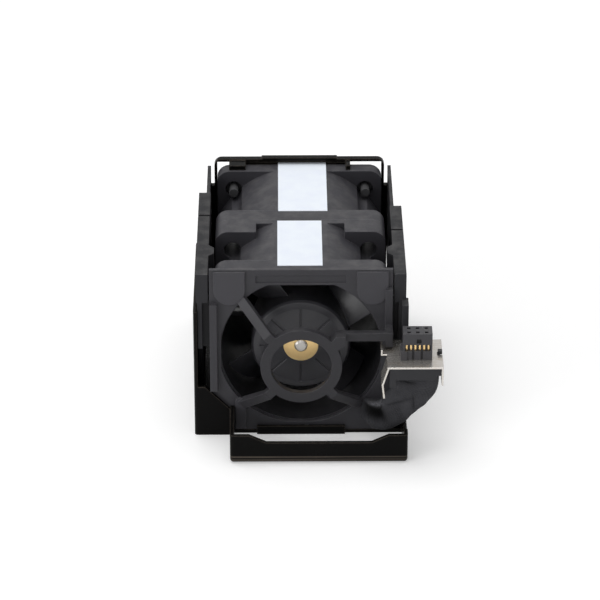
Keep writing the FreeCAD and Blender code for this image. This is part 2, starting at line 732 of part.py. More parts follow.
def blade_sketch(body, place, turn_angle):
    """A sketch across the blade at one radius, the blade turned about the shaft."""
    sketch = body.newObject("Sketcher::SketchObject", body.Name + "_section")
    sketch.AttachmentSupport = [(origin_item(body, "YZ_Plane"), "")]
    sketch.MapMode = "FlatFace"
    bind(sketch, "AttachmentOffset.Base.y", place * sine(turn_angle))
    bind(sketch, "AttachmentOffset.Base.z", place * cosine(turn_angle))
    sketch.AttachmentOffset = FreeCAD.Placement(
        VEC(0, place.value * math.sin(math.radians(turn_angle.value)),
            place.value * math.cos(math.radians(turn_angle.value))),
        FreeCAD.Rotation(VEC(1, 0, 0), -turn_angle.value))
    return sketch


def sine(angle):
    """Sine of an angle in degrees."""
    return Size(math.sin(math.radians(angle.value)), f"sin({angle.text} * 1 deg)")


def cosine(angle):
    """Cosine of an angle in degrees."""
    return Size(math.cos(math.radians(angle.value)), f"cos({angle.text} * 1 deg)")


def rotor_inner_parts(prefix, y, turn):
    """Bush, shaft, yoke, magnet, inner rings and clip of one rotor."""
    face = D["hub_setback"]

    bush = new_body(prefix + "_bush", 0, y, D["axis_z"], turn)
    turned(bush, (BUSH_BORE_R, face), (D["bush_r"], face),
           (D["bush_r"], face + D["bush_depth"]), (BUSH_BORE_R, face + D["bush_depth"]))

    shaft = new_body(prefix + "_shaft", 0, y, D["axis_z"], turn)
    tip = face - D["shaft_proud"]
    round_in = D["shaft_r"] * 0.25
    turned(shaft, (0, tip), (D["shaft_r"] - round_in, tip), (D["shaft_r"], tip + round_in),
           (D["shaft_r"], tip + D["shaft_length"]), (0, tip + D["shaft_length"]))

    yoke = new_body(prefix + "_yoke", 0, y, D["axis_z"], turn)
    top = face + D["hub_wall"] + D["press_gap"]
    lid = top + D["yoke_wall"]
    lid_bore = D["bush_r"] + D["press_gap"]
    turned(yoke, (lid_bore, top), (YOKE_R, top), (YOKE_R, top + D["yoke_length"]),
           (YOKE_BORE_R, top + D["yoke_length"]), (YOKE_BORE_R, lid), (lid_bore, lid))

    magnet = new_body(prefix + "_magnet", 0, y, D["axis_z"], turn)
    start = face + D["magnet_inset"]
    turned(magnet, (MAGNET_BORE_R, start), (MAGNET_R, start),
           (MAGNET_R, start + D["magnet_length"]), (MAGNET_BORE_R, start + D["magnet_length"]))

    clip = new_body(prefix + "_clip", 0, y, D["axis_z"], turn)
    seat = bearing_places()[1] + D["bearing_length"] + D["clip_gap"]
    along_y(clip, seat, seat + D["clip_thick"], both(disc(D["clip_r"]), disc(BUSH_BORE_R)))
    along_y(clip, seat, seat + D["clip_thick"], box(
        -D["shaft_r"] * 0.7, -D["clip_r"] * 1.2, D["shaft_r"] * 0.7, -D["shaft_r"] * 0.5), cut=True)

    rings = Part.makeCompound([
        ring_solid(D["shaft_r"].value + D["press_gap"].value,
                   D["shaft_r"].value + D["bearing_wall"].value,
                   start_y.value, D["bearing_length"].value)
        for start_y in bearing_places()])
    solid_group(prefix + "_bearing_inner_rings", rings, y, turn)


def bearing_places():
    """Where the two bearings of a motor start, from the casing's open face."""
    first = TUBE_START + D["bearing_edge"]
    second = TUBE_END - D["bearing_edge"] - D["bearing_length"] - D["clip_thick"] - D["clip_gap"]
    return first, second


def ring_solid(inner, outer, start, length):
    """A plain ring about the Y axis."""
    along = VEC(0, 1, 0)
    whole = Part.makeCylinder(outer, length, VEC(0, start, 0), along)
    return whole.cut(Part.makeCylinder(inner, length, VEC(0, start, 0), along))


def solid_group(label, shape, y, turn):
    """A piece made of several like solids, placed as a body is."""
    feature = DOC.addObject("Part::Feature", label)
    feature.Label = label
    feature.Shape = shape
    feature.Placement = FreeCAD.Placement(VEC(0, 0, 0), FreeCAD.Rotation(VEC(0, 0, 1), turn))
    bind(feature, "Placement.Base.y", y)
    bind(feature, "Placement.Base.z", D["axis_z"])
    NODES.append(feature)
    return feature


# Fixed parts of each motor.

def motor_fixed_parts(prefix, y, turn):
    """Bearing tube, outer rings, stator stack, windings and circuit board."""
    tube = new_body(prefix + "_bearing_tube", 0, y, D["axis_z"], turn)
    turned(tube, (TUBE_BORE_R, TUBE_START), (TUBE_R, TUBE_START),
           (TUBE_R, TUBE_END), (TUBE_BORE_R, TUBE_END))

    outer = D["bearing_r"].value
    wall = D["bearing_wall"].value
    shield_r = D["shaft_r"].value + wall + D["bearing_run"].value
    length = D["bearing_length"].value
    rings = []
    for place in bearing_places():
        shell = ring_solid(shield_r, outer, place.value, length)
        race = ring_solid(shield_r, outer - wall, place.value + wall, length - 2 * wall)
        rings.append(shell.cut(race))
    solid_group(prefix + "_bearing_outer_rings", Part.makeCompound(rings), y, turn)

    stack = new_body(prefix + "_stator_core", 0, y, D["axis_z"], turn)
    start = D["hub_setback"] + D["core_inset"]
    end = start + D["core_length"]
    along_y(stack, start, end, disc(D["core_hub_r"]))
    half = D["tooth_width"] / 2
    half_shoe = D["tooth_shoe_width"] / 2
    shoe = CORE_R - D["tooth_shoe"]
    tooth = along_y(stack, start, end, polygon(
        (0, -half), (shoe - D["tooth_shoe"], -half), (shoe - D["tooth_shoe"] / 2, -half_shoe),
        (CORE_R, -half_shoe), (CORE_R, half_shoe), (shoe - D["tooth_shoe"] / 2, half_shoe),
        (shoe - D["tooth_shoe"], half), (0, half)))
    around_axis(stack, tooth, D["tooth_count"])
    along_y(stack, start, end, both(disc(CORE_R), disc(CORE_R * 2)), cut=True)
    along_y(stack, start, end, disc(TUBE_R + D["press_gap"]), cut=True)

    solid_group(prefix + "_windings", windings(start.value, end.value), y, turn)

    board = new_body(prefix + "_circuit_board", 0, y, D["axis_z"], turn)
    board_end = D["seat_depth"] - D["board_gap"]
    board_start = board_end - D["board_thick"]
    along_y(board, board_start, board_end, both(disc(D["board_r"]), disc(TUBE_R + D["press_gap"])))


def windings(start, end):
    """One coil round each stator tooth."""
    gap = D["coil_gap"].value
    build = D["coil_wall"].value
    half = D["tooth_width"].value / 2 + gap
    inner_r = D["core_hub_r"].value + gap + 0.1
    outer_r = CORE_R.value - 2 * D["tooth_shoe"].value - gap
    reach = outer_r - inner_r
    outer_box = Part.makeBox(reach, end - start + 2 * (gap + build), 2 * (half + build),
                             VEC(inner_r, start - gap - build, -half - build))
    tooth_box = Part.makeBox(reach, end - start + 2 * gap, 2 * half, VEC(inner_r, start - gap, -half))
    coil = outer_box.cut(tooth_box)
    coils = []
    count = int(D["tooth_count"].value)
    for index in range(count):
        copy = coil.copy()
        copy.rotate(VEC(0, 0, 0), VEC(0, 1, 0), 360.0 * index / count)
        coils.append(copy)
    return Part.makeCompound(coils)


# Face frame.

def face_frame():
    """Moulded frame in front of the inlet with the bowed finger guard."""
    body = new_body("face_frame", 0, FRONT_Y, D["axis_z"])
    thick = D["face_thick"]
    low = D["steel"] - D["axis_z"]
    top = D["face_top"] - D["axis_z"]
    along_y(body, 0, thick, box(-HALF_FACE, low, HALF_FACE, top))
    along_y(body, 0, thick, flatted_circle(
        D["opening_r"], D["opening_flat_x"], D["opening_flat_top"], D["opening_flat_low"]), cut=True)
    outer = HALF_FACE - D["pad_inset"]
    for side in (-1, 1):
        corner_pad(body, side, top, -1, outer - D["pad_width"], outer)
    corner_pad(body, -1, low, 1, outer - D["pad_width"], D["low_pad_outer"])
    half_slot = D["slot_width"] / 2
    slot_top = top - D["slot_drop"]
    along_y(body, 0, D["slot_depth"], box(
        -half_slot, slot_top - D["slot_height"], half_slot, slot_top), cut=True)
    bead(body, -1, D["left_bead_low"], D["left_bead_top"])
    bead(body, 1, D["right_bead_low"], D["right_bead_top"])
    guard(body, thick)
    return body


def corner_pad(body, side, edge, down, inner, outer):
    """Raised pad with a round end over one corner of the fan."""
    end_r = (outer - inner) / 2
    start = edge + down * 0.4
    turn_z = edge + down * (D["pad_height"] - end_r + 0.4)
    lows = (turn_z, start) if down < 0 else (start, turn_z)
    lefts = (inner, outer) if side > 0 else (-outer, -inner)
    along_y(body, -D["pad_proud"], 0, box(lefts[0], lows[0], lefts[1], lows[1]))
    along_y(body, -D["pad_proud"], 0, disc(end_r, side * (inner + end_r), turn_z))


def bead(body, side, low, top):
    """Upright bead near one side of the frame."""
    lefts = (HALF_FACE - D["bead_width"], HALF_FACE) if side > 0 else (
        -HALF_FACE, D["bead_width"] - HALF_FACE)
    along_y(body, -D["bead_proud"], 0, box(
        lefts[0], low - D["axis_z"], lefts[1], top - D["axis_z"]))


def guard(body, thick):
    """Guard ring in front of the hub, three sloping arms and the level tie bar."""
    front = -D["guard_reach"]
    back = front + D["guard_thick"]
    half = D["guard_arm_width"] / 2
    along_y(body, front, back, both(disc(D["guard_r"]), disc(D["guard_bore_r"])))
    inner = D["guard_bore_r"] + 0.5
    tab = D["guard_r"] + D["guard_tab"]
    outer = D["opening_r"] + 0.6
    arm_front = -D["guard_thick"] * 0.5
    for angle in (135, 225, 315):
        sketch_turn = -angle
        extrude(body, "XY_Plane", -half, half, polygon(
            (inner, front), (tab, front), (outer, arm_front), (outer, thick / 2),
            (outer - 1.2, thick / 2), (tab, back), (inner, back)), turn=sketch_turn)
    tie_low = D["tie_low"] - D["axis_z"]
    tie_top = tie_low + D["tie_height"]
    tie_back = D["guard_thick"] - D["tie_front"]
    along_y(body, -D["tie_front"], tie_back, box(
        D["tie_start"], tie_low, HALF_FACE - D["bead_width"], tie_top))
    along_y(body, -D["tie_front"], 0, box(
        HALF_FACE - D["bead_width"], tie_low - 1.6, HALF_FACE, tie_top))
    along_y(body, front, tie_back, polygon(
        (D["guard_r"] * 0.62, D["guard_r"] * 0.55), (D["guard_r"] * 0.80, D["guard_r"] * 0.36),
        (D["tie_start"] + 1.6, tie_low), (D["tie_start"] + 1.6, tie_top),
        (D["tie_start"] - 0.6, tie_top)))


# Rails.

def rail(label, side, split, block_end, wall_outer):
    """One moulded side rail: stepped blocks along the top, a wall and a thin rear fin."""
    body = new_body(label, 0, FRONT_Y, 0)
    inner = HALF_FACE + D["rail_gap"]
    outer = D["rail_outer_x"]
    wall = wall_outer - D["rail_wall"]
    low, top = D["rail_block_low"], D["rail_top"]

    def strip(near_x, far_x):
        return (near_x, far_x) if side > 0 else (-far_x, -near_x)

    left, right = strip(inner, outer)
    along_z(body, low, top, box(left, 0, right, block_end))
    left, right = strip(wall, wall_outer)
    nose = D["rail_nose_depth"]
    along_x(body, left, right, polygon(
        (0, D["rail_nose_low"]), (nose, D["rail_nose_low"]), (nose * 2, D["rail_low"]),
        (block_end, D["rail_low"]), (block_end, low + 1), (0, low + 1)))
    left, right = strip(D["fin_inner_x"], D["fin_inner_x"] + D["fin_thick"])
    along_x(body, left, right, polygon(
        (block_end - 2, D["fin_low"]), (MODULE_DEPTH - 6, D["fin_low"]),
        (MODULE_DEPTH, D["fin_low"] + 8), (MODULE_DEPTH, top - 0.4), (block_end - 2, top - 0.4)))
    left, right = strip(inner, wall_outer)
    along_z(body, D["fin_low"], low + 1, box(left, block_end - 1.4, right, block_end))
    left, right = strip(HALF_WIDTH + D["rail_gap"], wall_outer)
    web = D["face_thick"] + D["rail_gap"]
    along_y(body, web, web + D["rail_wall"], box(left, D["rail_nose_low"], right, low + 1))
    left, right = strip(inner, outer)
    nub_end = D["nub_start"] + D["nub_length"]
    reach = D["nub_reach"]
    points = [(side * inner, D["nub_start"]), (side * (inner - reach), D["nub_start"] + reach),
              (side * (inner - reach), nub_end - reach), (side * inner, nub_end)]
    if side > 0:
        points.reverse()
    along_z(body, low, top, polygon(*points))
    slit_low = top - D["rail_slit_depth"]
    along_z(body, slit_low, top, box(left, split, right, split + D["rail_slit"]), cut=True)
    return body


def right_rail():
    """The right rail also has the upright ear beside the connector."""
    body = rail("right_rail", 1, D["right_split"], D["right_block_end"], D["right_wall_x"])
    outer = D["rail_outer_x"] + 0.5
    low = D["shelf_z"] + D["shelf_thick"] + 0.1
    along_y(body, -D["tower_reach"], 1, box(outer - D["tower_width"], low, outer, D["tower_top"]))
    return body


# Folded steel bracket.

def steel_bracket():
    """Base, side panels, front flange, tongue and the pull handle, one folded sheet."""
    body = new_body("steel_bracket", 0, FRONT_Y, 0)
    sheet = D["steel"]
    left, right = -D["bracket_left_x"], D["bracket_right_x"]
    flange_front = -D["flange_gap"] - sheet
    along_z(body, 0, sheet, box(left, -D["flange_gap"], right, MODULE_DEPTH))
    along_x(body, left, left + sheet, panel(flange_front, D["left_panel_top"]))
    along_x(body, right - sheet, right, panel(-D["flange_gap"], D["right_panel_top"]))
    edge = -D["flange_right_x"]
    along_y(body, flange_front, -D["flange_gap"], polygon(
        (left, 0), (edge, 0), (edge, D["flange_low"]), (left + 2.6, D["flange_high"]),
        (left, D["flange_high"])))
    bar_front = -D["handle_reach"]
    arm_top = D["handle_end_height"]
    along_x(body, edge, edge + sheet, box(bar_front, 0, -D["flange_gap"], arm_top))
    along_x(body, right - sheet, right, polygon(
        (bar_front, 0), (0, 0), (0, D["handle_height"]), (bar_front + 6, D["handle_height"]),
        (bar_front + 3, arm_top), (bar_front, arm_top)))
    shoulder, ramp = D["handle_shoulder"], D["handle_ramp"]
    along_y(body, bar_front, bar_front + sheet, polygon(
        (edge, 0), (right, 0), (right, arm_top), (right - shoulder, arm_top),
        (right - shoulder - ramp, D["handle_height"]), (edge + shoulder + ramp, D["handle_height"]),
        (edge + shoulder, arm_top), (edge, arm_top)))
    along_z(body, 0, sheet, box(edge, bar_front, right, bar_front + D["hem_depth"]))
    half_tongue = D["tongue_width"] / 2
    tongue_front = -D["flange_gap"] - D["tongue_thick"]
    along_z(body, 0, sheet, box(-half_tongue, tongue_front, half_tongue, 1))
    along_y(body, tongue_front, -D["flange_gap"], box(-half_tongue, 0, half_tongue, D["tongue_height"]))
    round_edges(body, body.Tip, D["hem_bend_r"], lambda middle, direction: (
        abs(direction.x) > 0.99
        and near(middle.y, bar_front)
        and near(middle.z, 0)))
    round_edges(body, body.Tip, D["bend_r"], lambda middle, direction: (
        abs(direction.z) > 0.99
        and near(middle.y, bar_front)
        and (near(middle.x, edge) or near(middle.x, right))))
    round_edges(body, body.Tip, D["bend_r"], lambda middle, direction: (
        abs(direction.z) > 0.99
        and near(middle.y, flange_front)
        and near(middle.x, left)))
    return body


def panel(start, top):
    """Outline of a side panel, sloping down at the rear."""
    end = D["panel_length"]
    return polygon((start, 0), (end + D["panel_slope"], 0), (end + D["panel_slope"], 4),
                   (end, top), (start, top))


def rear_hoop():
    """Rectangular hoop of strip round the outlet, with two hooks over the flange."""
    body = new_body("rear_hoop", 0, FRONT_Y, 0)
    start, end = OUTLET_DEPTH, MODULE_DEPTH
    half = D["hoop_width"] / 2
    wall = D["hoop_wall"]
    low = D["steel"]
    along_y(body, start, end, box(-half, low, half, HOOP_TOP))
    round_edges(body, body.Tip, D["hoop_corner"], lambda middle, direction: (
        abs(direction.y) > 0.99 and near(middle.z, HOOP_TOP)))
    along_y(body, start, end, box(wall - half, low + wall, half - wall, HOOP_TOP - wall), cut=True)
    half_rise = D["hoop_rise_width"] / 2
    along_y(body, start, end, box(
        -half_rise, HOOP_TOP - wall, half_rise, HOOP_TOP + D["hoop_rise"]))
    for middle, width in ((D["hook_left_x"], D["hook_left_width"]),
                          (D["hook_right_x"], D["hook_right_width"])):
        along_y(body, start - D["hook_depth"], end, box(
            middle - width / 2, FLANGE_TOP, middle + width / 2, HOOP_TOP - wall / 2))
    left = D["hook_left_x"] + D["hook_left_width"] / 2
    right = D["hook_right_x"] - D["hook_right_width"] / 2
    ledge_low = FLANGE_TOP - D["hoop_ledge"]
    under = D["hook_right_width"] / 2
    along_y(body, start, end, box(left - under, ledge_low, right + under, FLANGE_TOP))
    along_y(body, end - D["hoop_lip"], end, box(left, ledge_low, right, HOOP_TOP - wall / 2))
    inner = half - wall
    foot = D["fin_inner_x"]
    for lefts in ((inner, foot), (-foot, -inner)):
        along_y(body, start, end, box(lefts[0], low, lefts[1], HOOP_TOP - D["hoop_foot_drop"]))
    return body


def mounting_pins():
    """Rubber pins through the four corner holes of the outlet flange."""
    start = OUTLET_DEPTH.value
    flange = D["rear_flange"].value
    half_pitch = D["mount_pitch"].value / 2
    hole_r = D["mount_hole_r"].value - D["press_gap"].value
    along = VEC(0, 1, 0)
    pins = []
    for side in (-1, 1):
        for level in (-1, 1):
            centre = VEC(side * half_pitch, 0, level * half_pitch)
            tip = start - flange - D["pin_proud"].value
            stem = Part.makeCylinder(D["pin_r"].value, start - tip, centre + VEC(0, tip, 0), along)
            collar = Part.makeCylinder(hole_r, flange * 0.5, centre + VEC(0, start - flange * 0.5, 0), along)
            head = Part.makeCone(D["pin_head_r"].value, D["pin_head_r"].value * 0.7,
                                 D["pin_head_thick"].value, centre + VEC(0, start, 0), along)
            pins.append(stem.fuse([collar, head]).removeSplitter())
    return solid_group("mounting_pins", Part.makeCompound(pins), FRONT_Y, 0)


def label_plate(label, left, right, start, end):
    """A blank label on the flat strip along the top."""
    body = new_body(label, 0, FRONT_Y, 0)
    along_z(body, FLANGE_TOP, FLANGE_TOP + D["label_thick"], box(left, start, right, end))
    return body


# Connector group.

def connector_shelf():
    """Plated sheet bracket that carries the connector."""
    body = new_body("connector_shelf", 0, FRONT_Y, 0)
    left, right = D["shelf_left_x"], D["shelf_right_x"]
    front, back = -D["shelf_front"], -D["shelf_back"]
    low, thick = D["shelf_z"], D["shelf_thick"]
    flange_back = front + D["shelf_flange_length"]
    along_z(body, low, low + thick, box(left, front, right, back))
    along_x(body, right - thick, right, box(front, low - D["shelf_drop"], flange_back, low + thick))
    foot, foot_z = left - D["shelf_splay"], low - D["shelf_drop"]
    along_y(body, front, flange_back, polygon(
        (left, low), (foot, foot_z), (foot + thick, foot_z), (left + thick, low), (left + thick, low + thick),
        (left, low + thick)))
    along_y(body, front, front + thick * 3, polygon(
        (foot, foot_z + thick), (foot + thick, foot_z - D["shelf_tongue"]),
        (foot + thick * 2, foot_z - D["shelf_tongue"]), (foot + thick, foot_z + thick)))
    tab = left - D["shelf_tab"]
    tab_start, tab_end = -D["shelf_tab_start"], -D["shelf_tab_end"]
    along_z(body, low, low + thick, box(tab, tab_start, left, tab_end))
    along_x(body, tab, tab + thick, box(tab_start, low, tab_end, low + thick + D["shelf_tab_rise"]))
    catch_front = -D["catch_reach"] - D["block_side_gap"]
    catch_back = D["catch_width"] - D["catch_reach"] + D["block_side_gap"]
    along_z(body, low, low + thick, box(D["catch_left_x"] - D["block_side_gap"], catch_front,
                                        right, catch_back), cut=True)
    return body


def connector_block():
    """Moulded block under the sheet bracket, with a catch over its right edge."""
    body = new_body("connector_block", 0, FRONT_Y, 0)
    gap = D["block_side_gap"]
    left = D["shelf_left_x"] + D["shelf_thick"] + gap
    right = D["shelf_right_x"] - D["shelf_thick"] - gap
    front, back = -D["block_front"], -D["block_back"]
    top = D["shelf_z"] - D["block_top_gap"]
    low = D["block_low"]
    along_z(body, low, top, box(left, front, right, back))
    along_z(body, low - D["block_leg"], low, box(left, front, left + D["block_leg_width"], back))
    along_z(body, low, low + D["block_step"], box(
        right - D["block_step_width"], front, right, back), cut=True)
    catch_front = -D["catch_reach"]
    catch_back = catch_front + D["catch_width"]
    catch_left = D["catch_left_x"]
    hook = D["shelf_z"] + D["shelf_thick"] + D["block_top_gap"]
    along_z(body, top - 1, hook + D["catch_rise"], box(catch_left, catch_front, right, catch_back))
    along_z(body, hook, hook + D["catch_rise"], box(
        catch_left, catch_front, catch_left + D["catch_head"], catch_back))
    return body


def connector_socket():
    """Socket with a grid of square contact holes and a window that bares the contacts."""
    body = new_body("connector_socket", 0, FRONT_Y, 0)
    pitch = D["socket_pitch"]
    left = D["socket_left_x"]
    right = left + pitch * D["socket_columns"] + D["socket_margin"] * 2
    front = -D["socket_front"]
    back = front + pitch * D["socket_rows"]
    low = D["shelf_z"] + D["shelf_thick"]
    top = low + D["socket_height"]
    along_z(body, low, top, box(left, front, right, back))
    foot_top = low + D["socket_window_low"]
    along_z(body, low, foot_top, box(left - D["socket_foot"], front - 0.3, left + 1, back))
    along_y(body, front, front + D["socket_window_depth"], box(
        left + 0.5, foot_top, right - 0.4, foot_top + D["socket_window_height"]), cut=True)
    half = D["socket_hole"] / 2
    holes = []
    for column in range(int(D["socket_columns"].value)):
        for row in range(int(D["socket_rows"].value)):
            u = left + D["socket_margin"] + pitch * (column + 0.5)
            v = front + pitch * (row + 0.5)
            holes.append(box(u - half, v - half, u + half, v + half))
    along_z(body, top - D["socket_hole_depth"], top, both(*holes), cut=True)
    middle = (left + right) / 2
    key = D["socket_key"] / 2
    along_y(body, front, front + 0.4, box(
        middle - key + 0.3, low + 4.3, middle + key + 0.3, low + 4.3 + D["socket_key"]), cut=True)
    for column in range(1, int(D["socket_columns"].value)):
        u = left + D["socket_margin"] + pitch * column
        along_y(body, front, front + 0.5, box(u - 0.25, low, u + 0.25, foot_top), cut=True)
    return body


def connector_contacts():
    """Six contact strips in the socket's window."""
    pitch = D["socket_pitch"].value / 2
    count = int(D["socket_columns"].value) * 2
    low = D["shelf_z"].value + D["shelf_thick"].value + D["socket_window_low"].value
    back = D["socket_window_depth"].value - D["socket_front"].value - D["contact_gap"].value
    first = D["socket_left_x"].value + D["socket_margin"].value + pitch / 2
    width, thick = D["contact_width"].value, D["contact_thick"].value
    height = D["socket_window_height"].value
    strips = []
    for index in range(count):
        middle = first + pitch * index
        strips.append(Part.makeBox(width, thick, height - 0.1,
                                   VEC(middle - width / 2, back - thick, low + 0.05)))
    feature = DOC.addObject("Part::Feature", "connector_contacts")
    feature.Label = "connector_contacts"
    feature.Shape = Part.makeCompound(strips)
    bind(feature, "Placement.Base.y", FRONT_Y)
    NODES.append(feature)


class Lead:
    """A flat section carried along straight runs and tangent bends."""

    def __init__(self, place, along, broad, half_width, half_thick):
        self.place, self.along, self.broad = place, along, broad
        self.face = self.section(half_width, half_thick)
        self.pieces = []

    def section(self, half_width, half_thick):
        """Flat section with round ends, square to the run."""
        thin = self.along.cross(self.broad)
        side = self.broad * (half_width - half_thick)
        edge = thin * half_thick
        tips = [self.place + self.broad * half_width, self.place - self.broad * half_width]
        corners = [self.place + side - edge, self.place + side + edge,
                   self.place - side + edge, self.place - side - edge]
        wire = Part.Wire([
            Part.Arc(corners[0], tips[0], corners[1]).toShape(),
            Part.makeLine(corners[1], corners[2]),
            Part.Arc(corners[2], tips[1], corners[3]).toShape(),
            Part.makeLine(corners[3], corners[0])])
        return Part.Face(wire)

    def run(self, length):
        """Carry the section straight on."""
        step = self.along * length
        self.pieces.append(self.face.extrude(step))
        self.face = self.face.translated(step)
        self.place = self.place + step

    def bend(self, radius, towards, angle):
        """Carry the section round a bend of this radius towards a direction."""
        centre = self.place + towards * radius
        axis = self.along.cross(towards)
        turn = FreeCAD.Rotation(axis, angle)
        self.pieces.append(self.face.revolve(centre, axis, angle))
        self.face = self.face.rotated(centre, axis, angle)
        self.place = centre + turn.multVec(self.place - centre)
        self.along = turn.multVec(self.along)
        self.broad = turn.multVec(self.broad)

    def solid(self):
        """Everything carried so far as one solid."""
        return self.pieces[0].fuse(self.pieces[1:]).removeSplitter()


def lead_sleeve():
    """Sleeved wire bundle from the connector block down to the frame's corner."""
    plane = math.radians(D["lead_plane"].value)
    lean = D["lead_lean"].value
    inward = VEC(-math.cos(plane), math.sin(plane), 0)
    top = D["block_low"].value - D["lead_top_gap"].value
    lead = Lead(VEC(D["lead_x"].value, -D["lead_reach"].value, top), VEC(0, 0, -1), inward,
                D["lead_half_width"].value, D["lead_half_thick"].value)
    lead.run(D["lead_drop"].value)
    lead.bend(D["lead_bend_r"].value, inward, lean)
    lead.run(D["lead_run"].value)
    level = VEC(0, 0, 1)
    upward = (level - lead.along * level.dot(lead.along)).normalize()
    lead.bend(D["lead_low_bend_r"].value, upward, 90 - lean)
    towards_frame = VEC(math.sin(plane), math.cos(plane), 0)
    lead.bend(D["lead_turn_r"].value, towards_frame, 90 - D["lead_plane"].value)
    lead.run(-D["lead_end_gap"].value - lead.place.y)
    feature = DOC.addObject("Part::Feature", "lead_sleeve")
    feature.Label = "lead_sleeve"
    feature.Shape = lead.solid()
    bind(feature, "Placement.Base.y", FRONT_Y)
    NODES.append(feature)


def check_document():
    """Stop if any object failed or any piece is empty or not valid."""
    for item in DOC.Objects:
        states = [state for state in item.State if state in ("Invalid", "Error")]
        if states:
            raise RuntimeError(f"{item.Label} is {states}")
    for node in NODES:
        shape = node.Shape
        if shape.isNull() or not shape.isValid() or not shape.Solids:
            raise RuntimeError(f"{node.Label} has no valid solid")


def write_parts():
    """Write one STEP file for each piece."""
    os.makedirs("parts", exist_ok=True)
    for node in NODES:
        node.Shape.exportStep(f"parts/{node.Label}.step")
        print(f"{node.Label:32s} solids {len(node.Shape.Solids):2d} volume {node.Shape.Volume:10.2f}")


def main():
    """Build every piece, check the document and write the pieces."""
    inlet, outlet = INLET_Y, OUTLET_Y
    casing("front_casing", D["front_casing_length"], D["front_flange"],
           D["front_mid_flange"], D["front_block"], inlet, 0)
    casing("rear_casing", D["fan_length"] - D["front_casing_length"], D["rear_flange"],
           D["rear_mid_flange"], D["rear_block"], outlet, 180)
    impeller("front_impeller", D["front_blade_count"], D["front_blade_turn"], 1, inlet, 0)
    impeller("rear_impeller", D["rear_blade_count"], D["rear_blade_turn"], -1, outlet, 180)
    for prefix, y, turn in (("front", inlet, 0), ("rear", outlet, 180)):
        rotor_inner_parts(prefix, y, turn)
        motor_fixed_parts(prefix, y, turn)
    face_frame()
    rail("left_rail", -1, D["left_split"], D["left_block_end"], D["left_wall_x"])
    right_rail()
    steel_bracket()
    rear_hoop()
    mounting_pins()
    label_plate("front_label", D["front_label_left"], D["front_label_right"],
                D["front_label_start"], D["front_label_end"])
    rear_label_start = D["face_thick"] + D["front_casing_length"] + D["rear_label_gap"]
    label_plate("rear_label", D["rear_label_left"], D["rear_label_right"],
                rear_label_start, OUTLET_DEPTH + D["rear_label_over"])
    connector_shelf()
    connector_block()
    connector_socket()
    connector_contacts()
    lead_sleeve()
    DOC.recompute()
    check_document()
    write_parts()


main()
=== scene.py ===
"""Server fan module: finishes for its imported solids, the wrapped lead, and a plain stage.

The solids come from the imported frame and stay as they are. Each gets a finish made of
shader nodes. The lead's cloth wrap is a surface worked out here, in the same place.
Lengths are metres, +X right, +Y from inlet to outlet, +Z up.
"""
import math

import bpy
import numpy as np
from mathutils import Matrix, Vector


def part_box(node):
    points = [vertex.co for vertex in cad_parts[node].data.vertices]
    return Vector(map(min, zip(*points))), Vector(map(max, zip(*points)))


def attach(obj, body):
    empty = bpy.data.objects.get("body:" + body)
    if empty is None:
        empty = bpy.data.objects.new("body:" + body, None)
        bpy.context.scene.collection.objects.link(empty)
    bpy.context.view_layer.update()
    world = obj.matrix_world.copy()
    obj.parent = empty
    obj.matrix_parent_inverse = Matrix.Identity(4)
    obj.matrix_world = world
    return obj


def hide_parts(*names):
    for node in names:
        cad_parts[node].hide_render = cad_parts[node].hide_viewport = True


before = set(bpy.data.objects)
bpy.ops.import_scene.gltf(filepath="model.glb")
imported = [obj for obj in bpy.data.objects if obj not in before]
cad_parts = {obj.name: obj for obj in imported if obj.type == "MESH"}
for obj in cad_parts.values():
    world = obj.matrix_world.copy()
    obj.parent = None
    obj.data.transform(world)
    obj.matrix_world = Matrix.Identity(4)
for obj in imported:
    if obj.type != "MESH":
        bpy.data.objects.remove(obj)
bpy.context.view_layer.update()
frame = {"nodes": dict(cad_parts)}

bl_info = {
    "name": "Server fan module",
    "version": (1, 0, 0),
    "blender": (4, 5, 0),
    "location": "View3D > Sidebar > Fan module",
    "description": "Finishes, wrapped lead and stage for a server fan module",
    "category": "Object",
}

MM = 0.001

# Places on the module that more than one step uses.
GUARD_REACH = 7.3 * MM
FACE_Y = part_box("face_frame")[0].y + GUARD_REACH
AXIS_Z = 21.7 * MM
BORE_R = 18.6 * MM

# Dust on matt plastic and on gloss coating.
DUST = (0.20, 0.195, 0.19)
THIN_DUST = (0.10, 0.096, 0.092)

# Shares of a plastic's own colour for painted shade, where its shade function darkens it, and for painted
# light, where it makes it paler.
DARK_SHARE, PALE_SHARE = 0.12, 1.6

# The socket's notch, which gets painted shade: right of the socket's middle, below its top, and half its
# size.
NOTCH_RIGHT, NOTCH_DOWN, NOTCH_HALF = 0.55 * MM, 1.85 * MM, 1.2 * MM

# The bracket's handle: its distance in front of the frame, its hem line and its lower edge, which both
# carry a painted reflection.
HANDLE_START, HANDLE_FULL = 12.0 * MM, 13.0 * MM
HEM_Z, HEM_HALF = 1.75 * MM, 0.24 * MM
GLINT_Z, GLINT_HALF = 0.85 * MM, 0.55 * MM

# The lead's route, as its solid has it: the upright plane that it lies in, turned from the X axis,
# and the angle that its straight run leans; then its lengths.
LEAD_PLANE, LEAD_LEAN = math.radians(25.0), math.radians(37.0)
LEAD_DROP, LEAD_RUN, LEAD_END_GAP = 1.5 * MM, 8.8 * MM, 0.1 * MM
LEAD_BEND_R, LEAD_TURN_R = 5.0 * MM, 2.2 * MM

